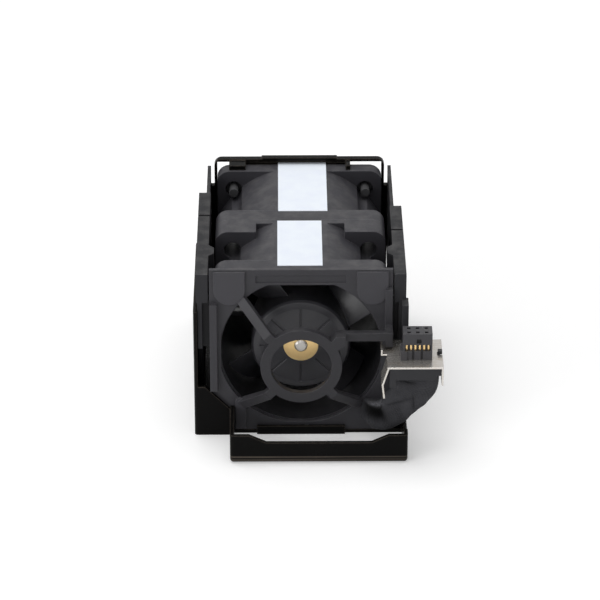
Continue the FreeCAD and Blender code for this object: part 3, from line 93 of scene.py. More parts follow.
# Forms of the wrap, in millimetres where they are places: S is along the lead from the block and
# X across its broad side. Heights and depths are metres.
WRAP_POINTS, FLATNESS = 128, 0.8
DENT_S, DENT_X, DENT_R, DENT_POWER = 18.4, 0.2, 2.3, 1.4
# The pocket is no form: it is a patch of painted shade round the dent.
POCKET_S, POCKET_LENGTH, POCKET_X, POCKET_HALF = 19.0, 3.1, 0.3, 2.2
FRAYED_S, FRAYED_LENGTH, FRAYED_X, FRAYED_HALF = 18.0, 3.6, 3.4, 0.9
SHOULDER_LENGTH, SWELL_FADE = 5.5, 2.5
WAIST_S, WAIST_HALF, WAIST_DEPTH = 13.0, 4.5, 0.45 * MM
ENDING_S, OUTER_REACH, INNER_DRAW = 15.0, 1.3 * MM, 2.6 * MM
FLARE_LENGTH, FLARE_HEIGHT, FLARE_EVEN = 1.5, 2.6 * MM, 0.35

# Slow waves of the wrap: radians for a millimetre along it, turns round it, start.
SWELLS = ((1.1, 2.0, 0.0), (0.57, -3.0, 1.0), (1.9, 1.0, 4.0))

# Creases: distance along the lead, place across it, slant, half length; then their half width
# and the share of painted shade that they get.
CREASES = ((10.5, 0.6, 0.45, 3.2), (15.2, 3.0, -0.55, 2.2), (4.6, 2.3, 0.9, 2.0), (7.8, -2.0, -0.8, 1.8))
CREASE_HALF, CREASE_SHADE = 0.30, 0.35

# Lamps: place and size in metres. Their radiance is a setting of the stage.
LAMPS = {"overhead": ((-0.15, 0.15, 0.95), (0.9, 0.9)),
         "front": ((-0.45, -1.05, 0.75), (0.7, 0.6)),
         "side": ((-0.90, -0.68, 0.36), (0.55, 0.5))}
LAMP_TARGET = (0.0, 0.0, 0.02)
SENSOR_WIDTH = 36.0


def millimetres(name, text, default, **more):
    """Length property kept in metres and given here in millimetres."""
    return bpy.props.FloatProperty(name=name, description=text, default=default * MM,
                                   subtype="DISTANCE", unit="LENGTH", precision=5, **more)


def tint(name, text, red, green, blue):
    """Colour property in linear values."""
    return bpy.props.FloatVectorProperty(name=name, description=text, subtype="COLOR", size=3,
                                         default=(red, green, blue), min=0.0, max=1.0)


def degrees(name, text, default):
    """Angle property kept in radians and given here in degrees."""
    return bpy.props.FloatProperty(name=name, description=text, default=math.radians(default),
                                   subtype="ANGLE", unit="ROTATION")


def number(name, text, default, **more):
    """Number without a unit."""
    return bpy.props.FloatProperty(name=name, description=text, default=default, **more)


class PlasticSettings(bpy.types.PropertyGroup):
    """Colours of the moulded parts."""

    frame: tint("Face frame", "Moulded frame with its guard", 0.0425, 0.0415, 0.047)
    rails: tint("Rails", "Both side rails", 0.016, 0.016, 0.018)
    casing: tint("Fan casings", "Both fan casings", 0.038, 0.037, 0.043)
    rotor: tint("Rotors", "Both impellers", 0.027, 0.0265, 0.031)
    block: tint("Connector block", "Black block under the connector", 0.024, 0.024, 0.027)
    socket: tint("Socket", "Socket of the connector", 0.052, 0.051, 0.056)
    rubber: tint("Mounting pins", "Soft pins that hold the rear casing", 0.060, 0.060, 0.063)
    magnet: tint("Magnets", "Bonded magnet rings", 0.030, 0.028, 0.027)
    board: tint("Circuit boards", "Solder mask of the motor boards", 0.012, 0.085, 0.035)
    grain: millimetres("Mould grain", "Width of the grain in the moulded faces", 0.22)


class MetalSettings(bpy.types.PropertyGroup):
    """Colours of the metal parts."""

    black: tint("Coated steel", "Bracket, handle and rear hoop", 0.0026, 0.0024, 0.0023)
    # Brownish edges: partly thin coating, partly painted highlight; this colour also paints the reflection
    # along the handle's hem.
    black_edge_and_glint: tint("Coated steel, edges", "Thin coating along edges and bends", 0.110, 0.092, 0.076)
    brass: tint("Brass", "Rotor bushes and bearing tubes", 0.97, 0.68, 0.32)
    bright: tint("Ground steel", "Shafts, clips and bearing rings", 0.56, 0.54, 0.51)
    plain: tint("Plated steel", "Yokes and stator stacks", 0.32, 0.32, 0.33)
    nickel: tint("Nickel sheet", "Sheet bracket of the connector", 0.67, 0.64, 0.60)
    gold: tint("Gold", "Contact strips", 0.85, 0.60, 0.28)
    copper: tint("Copper wire", "Enamelled windings", 0.45, 0.16, 0.06)


class SoftSettings(bpy.types.PropertyGroup):
    """Paper labels and the lead's cloth wrap."""

    paper: tint("Labels", "Blank labels", 0.86, 0.91, 1.00)
    cloth: tint("Cloth wrap", "Cloth tape round the lead", 0.040, 0.040, 0.044)
    lead_x: millimetres("Lead, X", "Middle of the lead at the connector block", 27.7)
    lead_reach: millimetres("Lead, reach", "Lead at the block, in front of the frame", 8.6)
    lead_top: millimetres("Lead, top", "Upper end of the lead", 21.45)
    half_width: millimetres("Half width", "Half the broad side of the lead", 4.1)
    half_thick: millimetres("Half thickness", "Half the thickness of the lead", 1.9)
    shoulder: millimetres("Shoulder", "Fullness of the inner side under the block", 1.9)
    hollow: millimetres("Hollow", "Depth of the dent where the lead turns to the frame", 1.45)
    crease: millimetres("Creases", "Depth of the soft creases", 0.34)
    swell: millimetres("Swell", "Height of the soft unevenness", 0.13)
    thread: millimetres("Thread", "Spacing of the threads in the tape", 0.30)


class StageSettings(bpy.types.PropertyGroup):
    """Camera, lamps and floor."""

    azimuth: degrees("Azimuth", "Camera round the module from the inlet", -0.43)
    elevation: degrees("Elevation", "Camera above the horizon", 29.0)
    distance: millimetres("Distance", "Camera to the aim point", 745.0)
    aim_z: millimetres("Aim height", "Aim point above the floor, in the frame's front face", 21.0)
    lens: number("Lens", "Focal length in millimetres on a 36 mm sensor", 192.7, subtype="DISTANCE_CAMERA")
    offset_x: number("Offset right", "Aim point right of the picture's middle, in picture widths", 0.00167)
    offset_y: number("Offset down", "Aim point below the picture's middle, in picture widths", 0.0903)
    ambient: number("Ambient", "Light from all round", 0.42)
    overhead: number("Overhead", "Radiance of the lamp above", 2.3)
    front: number("Front", "Radiance of the lamp in front", 0.9)
    side: number("Side", "Radiance of the low lamp at the left", 4.2)
    floor: tint("Floor", "Pale floor", 0.80, 0.80, 0.80)


class Recipe:
    """A node tree with short calls for adding and joining nodes."""

    def __init__(self, tree):
        self.tree = tree
        self.column = 0

    def node(self, kind, settings=None, **inputs):
        """Add a node, set its attributes, then set or join its inputs by name."""
        made = self.tree.nodes.new("ShaderNode" + kind)
        made.location = (-220 * self.column, -180 * (self.column % 5))
        self.column += 1
        for key, value in (settings or {}).items():
            setattr(made, key, value)
        for key, value in inputs.items():
            self.put(made.inputs[key.replace("_", " ")], value)
        return made

    def put(self, socket, value):
        """Join an output to this input, or set its value."""
        if isinstance(value, bpy.types.NodeSocket):
            self.tree.links.new(value, socket)
        elif socket.type == "RGBA" and len(value) == 3:
            socket.default_value = (*value, 1.0)
        else:
            socket.default_value = value

    def calc(self, operation, first, second=0.0, clamp=False):
        """Result of a sum, product or other function of two values."""
        made = self.tree.nodes.new("ShaderNodeMath")
        made.operation, made.use_clamp = operation, clamp
        self.put(made.inputs[0], first)
        self.put(made.inputs[1], second)
        return made.outputs[0]

    def blend(self, factor, first, second):
        """Colour between two colours."""
        made = self.tree.nodes.new("ShaderNodeMix")
        made.data_type = "RGBA"
        self.put(made.inputs[0], factor)
        self.put(made.inputs[6], first)
        self.put(made.inputs[7], second)
        return made.outputs[2]

    def ramp(self, value, low, high, start=0.0, end=1.0):
        """Value carried from the range low..high to the range start..end."""
        made = self.tree.nodes.new("ShaderNodeMapRange")
        for index, part in enumerate((value, low, high, start, end)):
            self.put(made.inputs[index], part)
        return made.outputs[0]

    def where(self):
        """The point in the frame's own axes."""
        return self.node("TexCoord").outputs["Object"]

    def place(self):
        """X, Y and Z of the point, by name."""
        return self.node("SeparateXYZ", Vector=self.where()).outputs

    def noise(self, where, scale, detail, **more):
        """Noise of this scale at the point, from 0 to 1."""
        return self.node("TexNoise", Vector=where, Scale=scale, Detail=detail, **more).outputs[0]

    def stretched(self, where, scale):
        """The point with each axis scaled by its own number, for drawn or rolled lines."""
        made = self.node("Mapping", Vector=where)
        made.inputs["Scale"].default_value = scale
        return made.outputs[0]

    def from_axis(self, place):
        """Distance from the rotor axis: the root of x squared plus height squared."""
        level = self.calc("SUBTRACT", place["Z"], AXIS_Z)
        squared = self.calc("ADD", self.calc("MULTIPLY", place["X"], place["X"]),
                            self.calc("MULTIPLY", level, level))
        return self.calc("SQRT", squared)

    def band(self, value, middle, half):
        """Mask of one stretch of a coordinate, soft at both ends."""
        off = self.calc("ABSOLUTE", self.calc("SUBTRACT", value, middle))
        return self.ramp(off, half, half * 0.5)


def new_effect(name, numbers, outputs):
    """New shader node group with number inputs; returns its recipe, given inputs and results."""
    group = bpy.data.node_groups.new(name, "ShaderNodeTree")
    for key, default in numbers.items():
        socket = group.interface.new_socket(key, in_out="INPUT", socket_type="NodeSocketFloat")
        socket.default_value = default
    for key, kind in outputs.items():
        group.interface.new_socket(key, in_out="OUTPUT", socket_type=kind)
    recipe = Recipe(group)
    return recipe, group.nodes.new("NodeGroupInput").outputs, group.nodes.new("NodeGroupOutput").inputs


FLOAT, DIRECTION = "NodeSocketFloat", "NodeSocketVector"


def edge_wear_effect():
    """Mask that is high where the surface turns sharply within the radius, broken up by noise. The finishes
    retint their edges by it, partly for wearing and partly as painted highlight.
    """
    recipe, given, result = new_effect("Edge wear", {"Radius": 0.3 * MM, "Gain": 3.0},
                                       {"Mask": FLOAT, "Normal": DIRECTION})
    rounded = recipe.node("Bevel", {"samples": 6}, Radius=given["Radius"]).outputs["Normal"]
    alike = recipe.node("VectorMath", {"operation": "DOT_PRODUCT"})
    recipe.put(alike.inputs[0], rounded)
    recipe.put(alike.inputs[1], recipe.node("NewGeometry").outputs["Normal"])
    turn = recipe.calc("SUBTRACT", 1.0, alike.outputs["Value"])
    patches = recipe.noise(recipe.where(), 900.0, 3.0)
    broken = recipe.calc("MULTIPLY", turn, recipe.ramp(patches, 0.30, 0.70, 0.45, 1.0))
    recipe.put(result["Mask"], recipe.calc("MULTIPLY", broken, given["Gain"], clamp=True))
    recipe.put(result["Normal"], rounded)
    return recipe.tree


def mould_grain_effect():
    """Fine grain of a moulded or cast face: two sizes of noise, as height and as shade."""
    recipe, given, result = new_effect("Mould grain", {"Scale": 4500.0, "Flow": 160.0},
                                       {"Height": FLOAT, "Shade": FLOAT})
    where = recipe.where()
    fine = recipe.noise(where, given["Scale"], 4.0)
    broad = recipe.noise(where, given["Flow"], 3.0, Distortion=0.6)
    recipe.put(result["Height"], fine)
    recipe.put(result["Shade"], recipe.calc("ADD", recipe.ramp(fine, 0.3, 0.7, 0.0, 0.35),
                                            recipe.ramp(broad, 0.3, 0.7, 0.0, 0.65)))
    return recipe.tree


def settled_dust_effect():
    """Thin dust on faces that look up, in soft patches."""
    recipe, given, result = new_effect("Settled dust", {"Amount": 0.2}, {"Mask": FLOAT})
    facing = recipe.node("SeparateXYZ", Vector=recipe.node("NewGeometry").outputs["Normal"])
    upward = recipe.ramp(facing.outputs["Z"], 0.35, 1.0)
    patches = recipe.noise(recipe.where(), 260.0, 6.0, Roughness=0.65)
    cloud = recipe.calc("MULTIPLY", upward, recipe.ramp(patches, 0.42, 0.72))
    recipe.put(result["Mask"], recipe.calc("MULTIPLY", cloud, given["Amount"]))
    return recipe.tree


def turned_rings_effect():
    """Tool marks of a lathe: rings round the rotor axis, as height and as shade."""
    recipe, given, result = new_effect("Turned rings", {"Pitch": 0.12 * MM},
                                       {"Height": FLOAT, "Shade": FLOAT})
    place = recipe.place()
    radius = recipe.calc("ADD", recipe.from_axis(place), place["Y"])
    phase = recipe.calc("MULTIPLY", recipe.calc("DIVIDE", radius, given["Pitch"]), 2 * math.pi)
    wave = recipe.ramp(recipe.calc("SINE", phase), -1.0, 1.0)
    uneven = recipe.node("TexNoise", {"noise_dimensions": "1D"}, Scale=1.0, Detail=3.0,
                         W=recipe.calc("MULTIPLY", radius, 2600.0))
    recipe.put(result["Height"], wave)
    recipe.put(result["Shade"], recipe.calc("MULTIPLY", wave, uneven.outputs[0]))
    return recipe.tree


EFFECTS = {}


def build_effects():
    """Make each shared effect once."""
    EFFECTS.update(wear=edge_wear_effect(), grain=mould_grain_effect(), dust=settled_dust_effect(),
                   rings=turned_rings_effect())


class Finish(Recipe):
    """A material whose Principled shader is fed by the shared effects."""

    def __init__(self, name, roughness=0.5, metallic=0.0, specular=0.5):
        self.material = bpy.data.materials.new(name)
        self.material.use_nodes = True
        super().__init__(self.material.node_tree)
        self.shader = self.tree.nodes["Principled BSDF"]
        self.feed("Roughness", roughness)
        self.feed("Metallic", metallic)
        self.feed("Specular IOR Level", specular)

    def effect(self, key, **inputs):
        """Place a shared effect with this material's own values; returns its outputs."""
        made = self.tree.nodes.new("ShaderNodeGroup")
        made.node_tree = EFFECTS[key]
        for name, value in inputs.items():
            self.put(made.inputs[name], value)
        return made.outputs

    def feed(self, name, value):
        """Join or set one of the shader's inputs."""
        self.put(self.shader.inputs[name], value)

    def bump(self, height, depth, strength=1.0, normal=None):
        """Relief of this depth in metres on the shader's normal."""
        made = self.node("Bump", Height=height, Distance=depth, Strength=strength)
        if normal is not None:
            self.put(made.inputs["Normal"], normal)
        self.feed("Normal", made.outputs["Normal"])

    def give(self, *names):
        """Put this material on CAD nodes."""
        for name in names:
            slots = frame["nodes"][name].data.materials
            slots.clear()
            slots.append(self.material)


def scaled(colour, factor):
    """A lighter or darker shade of a colour."""
    return tuple(min(1.0, part * factor) for part in colour)


def moulded(name, colour, grain, roughness=0.5, edge=2.2, dust=0.25, specular=0.26, shade=None):
    """Moulded plastic: grain, slow flow shading, edges painted paler, partly for wearing and partly as
    painted highlight, and a little dust.

    The shade function gives two masks of painted light: painted shade, where the plastic is darker, and
    painted highlight, where it is paler.
    """
    finish = Finish(name, roughness, specular=specular)
    texture = finish.effect("grain", Scale=1.0 / grain)
    wear = finish.effect("wear", Radius=0.28 * MM, Gain=2.2)
    settled = finish.effect("dust", Amount=dust)["Mask"]
    base = finish.blend(texture["Shade"], scaled(colour, 0.90), scaled(colour, 1.12))
    if shade is not None:
        dark, pale = shade(finish)
        base = finish.blend(pale, base, scaled(colour, PALE_SHARE))
        base = finish.blend(dark, base, scaled(colour, DARK_SHARE))
        settled = finish.calc("MULTIPLY", settled, finish.calc("SUBTRACT", 1.0, dark))
    # Painted highlight, with some wearing, along the edges: paler by the factor edge.
    retoned = finish.blend(wear["Mask"], base, scaled(colour, edge))
    finish.feed("Base Color", finish.blend(settled, retoned, DUST))
    rough = finish.ramp(texture["Shade"], 0.0, 1.0, roughness - 0.06, roughness + 0.08)
    polish = finish.calc("MULTIPLY", wear["Mask"], 0.12)
    finish.feed("Roughness", finish.calc("SUBTRACT", rough, polish))
    finish.bump(texture["Height"], 0.02 * MM, 0.7, wear["Normal"])
    return finish


def bore_shade(finish):
    """Painted shade inside the duct bore, by the distance from the rotor axis; no painted light."""
    radius = finish.from_axis(finish.place())
    return finish.ramp(radius, BORE_R + 0.3 * MM, BORE_R - 0.1 * MM, 0.0, 0.95), 0.0


def frame_shade(finish):
    """Painted shade on the guard, which stands in front of the frame's face, and painted highlight on the
    rims of the pads.
    """
    depth = finish.place()["Y"]
    guard = finish.ramp(depth, FACE_Y - 1.5 * MM, FACE_Y - 4.5 * MM, 0.0, 0.34)
    rims = finish.band(depth, FACE_Y - 0.5 * MM, 0.25 * MM)
    return guard, finish.calc("MULTIPLY", rims, 0.5)


def rail_shade(finish):
    """The upright ear, in front of the frame's face, is painted paler than the rest of its rail: painted
    light on its front.
    """
    return 0.0, finish.ramp(finish.place()["Y"], FACE_Y + 1.0 * MM, FACE_Y)


def socket_shade(finish):
    """Painted shade inside the polarising notch in the socket's front."""
    place = finish.place()
    low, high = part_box("connector_socket")
    across = finish.band(place["X"], (low.x + high.x) / 2 + NOTCH_RIGHT, NOTCH_HALF)
    level = finish.band(place["Z"], high.z - NOTCH_DOWN, NOTCH_HALF)
    inside = finish.ramp(place["Y"], low.y + 0.32 * MM, low.y + 0.45 * MM)
    return finish.calc("MULTIPLY", finish.calc("MULTIPLY", across, level), inside), 0.0


def turned_metal(name, colour, pitch, roughness):
    """Metal cut on a lathe, with rings round the rotor axis and brighter edges, partly for wearing and
    partly as painted highlight.
    """
    finish = Finish(name, roughness, metallic=1.0)
    rings = finish.effect("rings", Pitch=pitch)
    wear = finish.effect("wear", Radius=0.18 * MM, Gain=2.0)
    base = finish.blend(rings["Shade"], scaled(colour, 0.86), scaled(colour, 1.10))
    finish.feed("Base Color", finish.blend(wear["Mask"], base, scaled(colour, 1.35)))
    finish.feed("Roughness", finish.ramp(rings["Shade"], 0.0, 1.0, roughness + 0.06, roughness - 0.05))
    finish.bump(rings["Height"], 0.004 * MM, 0.6, wear["Normal"])
    return finish


def coated_steel(name, colour, edge_and_glint_colour):
    """Gloss black coating on folded sheet: slight ripple; edges and bends brownish, partly from a thinner
    coating and partly painted highlight.

    Along the handle's hem and its lower edge lies a painted reflection, broken into drawn lines.
    """
    finish = Finish(name, 0.26, specular=0.06)
    ripple = finish.effect("grain", Scale=900.0, Flow=90.0)
    wear = finish.effect("wear", Radius=0.6 * MM, Gain=2.0)
    settled = finish.effect("dust", Amount=0.10)["Mask"]
    place = finish.place()
    # Painted reflection of the floor along the handle's hem bend and lower edge, in drawn lines.
    lower_edge = finish.calc("MULTIPLY", finish.band(place["Z"], GLINT_Z, GLINT_HALF), 0.7)
    ridge = finish.calc("MAXIMUM", finish.band(place["Z"], HEM_Z, HEM_HALF), lower_edge)
    handle = finish.ramp(place["Y"], FACE_Y - HANDLE_START, FACE_Y - HANDLE_FULL)
    glint_band = finish.calc("MULTIPLY", ridge, handle)
    lines = finish.noise(finish.stretched(finish.where(), (40.0, 3000.0, 3000.0)), 1.0, 3.0)
    streaked_glint = finish.calc("MULTIPLY", glint_band, finish.ramp(lines, 0.35, 0.65, 0.45, 1.0))
    base = finish.blend(ripple["Shade"], scaled(colour, 0.8), scaled(colour, 1.3))
    glinted = finish.blend(streaked_glint, base, scaled(edge_and_glint_colour, 0.9))
    retoned = finish.blend(wear["Mask"], glinted, edge_and_glint_colour)
    finish.feed("Base Color", finish.blend(settled, retoned, THIN_DUST))
    finish.feed("Roughness", finish.ramp(ripple["Shade"], 0.0, 1.0, 0.20, 0.30))
    finish.bump(ripple["Height"], 0.002 * MM, 0.5, wear["Normal"])
    return finish


def plated_sheet(name, colour, roughness):
    """Plated sheet metal: rolling lines along X, faint brownish stains, and paler edges, partly for wearing
    and partly as painted highlight.
    """
    finish = Finish(name, roughness, metallic=0.82)
    lines = finish.noise(finish.stretched(finish.where(), (160.0, 5200.0, 5200.0)), 1.0, 4.0)
    stains = finish.effect("grain", Scale=700.0, Flow=220.0)
    wear = finish.effect("wear", Radius=0.22 * MM, Gain=1.8)
    rolled = finish.blend(lines, scaled(colour, 0.95), scaled(colour, 1.03))
    stain = tuple(part * share for part, share in zip(colour, (0.75, 0.66, 0.55)))
    stained = finish.blend(finish.ramp(stains["Shade"], 0.55, 0.95, 0.0, 0.5), rolled, stain)
    finish.feed("Base Color", finish.blend(wear["Mask"], stained, scaled(colour, 1.25)))
    finish.feed("Roughness", finish.ramp(lines, 0.3, 0.7, roughness - 0.03, roughness + 0.05))
    finish.bump(lines, 0.0006 * MM, 0.4, wear["Normal"])
    return finish


def wound_wire(name, colour):
    """Enamelled wire laid side by side."""
    finish = Finish(name, 0.32, metallic=0.85)
    turns = finish.node("TexWave", {"wave_type": "BANDS", "bands_direction": "Y", "wave_profile": "SIN"},
                        Vector=finish.where(), Scale=620.0, Distortion=0.4, Detail=1.0).outputs[0]
    finish.feed("Base Color", finish.blend(turns, scaled(colour, 0.45), scaled(colour, 1.15)))
    finish.bump(turns, 0.10 * MM, 0.9)
    return finish


def printed_board(name, colour):
    """Solder mask with faint tracks under it."""
    finish = Finish(name, 0.33)
    cells = finish.node("TexVoronoi", {"feature": "DISTANCE_TO_EDGE", "distance": "MANHATTAN"},
                        Vector=finish.where(), Scale=650.0, Randomness=0.35)
    tracks = finish.ramp(cells.outputs[0], 0.06, 0.10)
    finish.feed("Base Color", finish.blend(tracks, scaled(colour, 1.6), colour))
    finish.feed("Roughness", finish.ramp(tracks, 0.0, 1.0, 0.25, 0.38))
    finish.bump(tracks, 0.02 * MM, 0.5)
    return finish


def blank_paper(name, colour):
    """Coated label stock: fine fibres and slightly greyed borders."""
    finish = Finish(name, 0.42, specular=0.35)
    where = finish.where()
    fibres = finish.noise(where, 5200.0, 5.0, Roughness=0.7)
    mottle = finish.noise(where, 300.0, 2.0)
    wear = finish.effect("wear", Radius=0.2 * MM, Gain=0.9)
    fine = finish.blend(fibres, scaled(colour, 0.93), scaled(colour, 1.05))
    broad = finish.blend(finish.ramp(mottle, 0.35, 0.7), fine, scaled(colour, 0.95))
    finish.feed("Base Color", finish.blend(wear["Mask"], broad, scaled(colour, 0.72)))
    finish.feed("Roughness", finish.ramp(fibres, 0.3, 0.7, 0.36, 0.50))
    finish.bump(fibres, 0.006 * MM, 0.5)
    return finish


def cloth_tape(name, colour, thread):
    """Plain weave in the wrap's own coordinates: over and under threads as height and shade.

    The wrap's "frayed" attribute brings out pale fibres, and its "hollow" attribute lays painted shade in
    the dent, the pocket and the creases.
    """
    finish = Finish(name, 0.82, specular=0.08)
    finish.feed("Sheen Weight", 0.03)
    finish.feed("Sheen Roughness", 0.5)
    wrap = finish.node("UVMap", {"uv_map": "wrap"}).outputs[0]
    along = finish.node("SeparateXYZ", Vector=wrap).outputs
    warp = finish.calc("SINE", finish.calc("MULTIPLY", along["X"], math.pi / thread))
    weft = finish.calc("SINE", finish.calc("MULTIPLY", along["Y"], math.pi / thread))
    weave = finish.ramp(finish.calc("MULTIPLY", warp, weft), -1.0, 1.0)
    where = finish.where()
    fuzz = finish.noise(where, 3600.0, 5.0, Roughness=0.7)
    faded = finish.noise(where, 330.0, 4.0, Roughness=0.6)
    height = finish.calc("ADD", weave, finish.calc("MULTIPLY", fuzz, 0.8))
    threads = finish.blend(weave, scaled(colour, 0.72), scaled(colour, 1.25))
    specks = finish.ramp(fuzz, 0.52, 0.72, 0.0, 0.6)
    speckled = finish.blend(specks, threads, scaled(colour, 2.1))
    retoned = finish.blend(finish.ramp(faded, 0.35, 0.7), speckled, scaled(colour, 1.45))
    frayed = finish.node("Attribute", {"attribute_name": "frayed"}).outputs["Fac"]
    fibres = finish.calc("MULTIPLY", frayed, finish.ramp(fuzz, 0.40, 0.62))
    pale = finish.blend(fibres, retoned, scaled(colour, 4.2))
    hollow = finish.node("Attribute", {"attribute_name": "hollow"}).outputs["Fac"]
    # Painted shade where the hollow attribute is high.
    finish.feed("Base Color", finish.blend(hollow, pale, scaled(colour, 0.06)))
    matt = finish.ramp(fuzz, 0.2, 0.8, 0.74, 0.92)
    finish.feed("Roughness", finish.calc("MAXIMUM", matt, hollow))
    finish.bump(height, 0.05 * MM, 0.8)
    return finish


def turned(vectors, axis, angles):
    """Vectors turned about a unit axis: v cos a + (axis x v) sin a + axis (axis . v)(1 - cos a)."""
    cosine, sine = np.cos(angles)[..., None], np.sin(angles)[..., None]
    along = (vectors @ axis)[..., None] * axis
    return vectors * cosine + np.cross(axis, vectors) * sine + along * (1 - cosine)


class Route:
    """Stations along straight runs and tangent bends: place, direction, broad side, distance."""

    def __init__(self, place, along, broad):
        self.place, self.along, self.broad, self.gone = place, along, broad, 0.0
        self.rows = []

    def keep(self, places, alongs, broads, distances):
        """Append stations, leaving out the first, which the last stretch ended on."""
        skip = 1 if self.rows else 0
        self.rows.append([part[skip:] for part in (places, alongs, broads, distances)])
        self.place, self.along, self.broad, self.gone = places[-1], alongs[-1], broads[-1], distances[-1]

    def run(self, length, count):
        """Straight stretch: place = start + direction times distance."""
        steps = np.linspace(0.0, length, count + 1)
        ones = np.ones((count + 1, 1))
        self.keep(self.place + steps[:, None] * self.along, ones * self.along, ones * self.broad,
                  self.gone + steps)

    def bend(self, radius, towards, angle, count):
        """Arc round a centre that lies at the radius towards one side."""
        angles = np.linspace(0.0, angle, count + 1)
        centre = self.place + towards * radius
        axis = np.cross(self.along, towards)
        ones = np.ones((count + 1, 1))
        self.keep(centre + turned(ones * (self.place - centre), axis, angles),
                  turned(ones * self.along, axis, angles), turned(ones * self.broad, axis, angles),
                  self.gone + radius * angles)

    def arrays(self):
        """All stations as whole arrays."""
        return [np.concatenate([row[index] for row in self.rows]) for index in range(4)]


def lead_route(soft):
    """The route of the lead's solid: down from the block, leaning in, then level into the frame."""
    level = math.radians(90.0)
    inward = np.array((-math.cos(LEAD_PLANE), math.sin(LEAD_PLANE), 0.0))
    rearward = np.array((math.sin(LEAD_PLANE), math.cos(LEAD_PLANE), 0.0))
    start = np.array((soft.lead_x, FACE_Y - soft.lead_reach, soft.lead_top))
    route = Route(start, np.array((0.0, 0.0, -1.0)), inward)
    route.run(LEAD_DROP, 10)
    route.bend(LEAD_BEND_R, inward, LEAD_LEAN, 24)
    route.run(LEAD_RUN, 60)
    upward = np.array((0.0, 0.0, 1.0)) - route.along * route.along[2]
    route.bend(LEAD_BEND_R, upward / np.linalg.norm(upward), level - LEAD_LEAN, 32)
    route.bend(LEAD_TURN_R, rearward, level - LEAD_PLANE, 24)
    route.run(FACE_Y - LEAD_END_GAP - route.place[1], 14)
    return route


def linked(name, mesh):
    """Smooth-shaded object of this mesh, in the scene."""
    mesh.polygons.foreach_set("use_smooth", np.ones(len(mesh.polygons), bool))
    mesh.update()
    made = bpy.data.objects.new(name, mesh)
    bpy.context.scene.collection.objects.link(made)
    return made


def wrap_mesh(name, points, uv):
    """Mesh over a grid of points [station, round], closed round and with a pole at each end."""
    rows, columns = points.shape[:2]
    poles = points[[0, -1]].mean(axis=1)
    vertices = np.concatenate([points.reshape(-1, 3), poles])
    row, column = np.meshgrid(np.arange(rows - 1), np.arange(columns), indexing="ij")
    here, after = row * columns + column, row * columns + (column + 1) % columns
    quads = np.stack([here, after, after + columns, here + columns], axis=-1).reshape(-1, 4)
    ring = np.arange(columns)
    following = (ring + 1) % columns
    last = (rows - 1) * columns
    first_cap = np.stack([following, ring, np.full(columns, rows * columns)], axis=-1)
    last_cap = np.stack([last + ring, last + following, np.full(columns, rows * columns + 1)], axis=-1)
    mesh = bpy.data.meshes.new(name)
    mesh.from_pydata(vertices, [], quads.tolist() + first_cap.tolist() + last_cap.tolist())
    once_round = [[[uv[0, 1, 0] * columns, 0.0]]]
    closing = np.concatenate([uv, uv[:, :1] + once_round], axis=1)
    corners = np.stack([closing[row, column], closing[row, column + 1], closing[row + 1, column + 1],
                        closing[row + 1, column]], axis=2).reshape(-1, 2)
    caps = np.zeros((2 * columns * 3, 2))
    layer = mesh.uv_layers.new(name="wrap")
    layer.data.foreach_set("uv", np.concatenate([corners, caps]).astype(np.float32).ravel())
    return mesh


def point_values(mesh, name, values):
    """Point attribute from a grid of values, with nothing at the two poles."""
    layer = mesh.attributes.new(name, "FLOAT", "POINT")
    layer.data.foreach_set("value", np.append(values.ravel(), (0.0, 0.0)).astype(np.float32))


def flattened(wave):
    """A sine or cosine with its size to the power FLATNESS, which flattens a round section."""
    return np.sign(wave) * np.abs(wave) ** FLATNESS


def hill(value, middle, half, power=2):
    """One at the middle, falling off past the half width: exp(-|(v - middle) / half|^power)."""
    return np.exp(-np.abs((value - middle) / half) ** power)


def smooth(value, low, high):
    """From 0 at low to 1 at high, slow at both ends: 3 u^2 - 2 u^3."""
    part = np.clip((value - low) / (high - low), 0.0, 1.0)
    return part ** 2 * (3.0 - 2.0 * part)


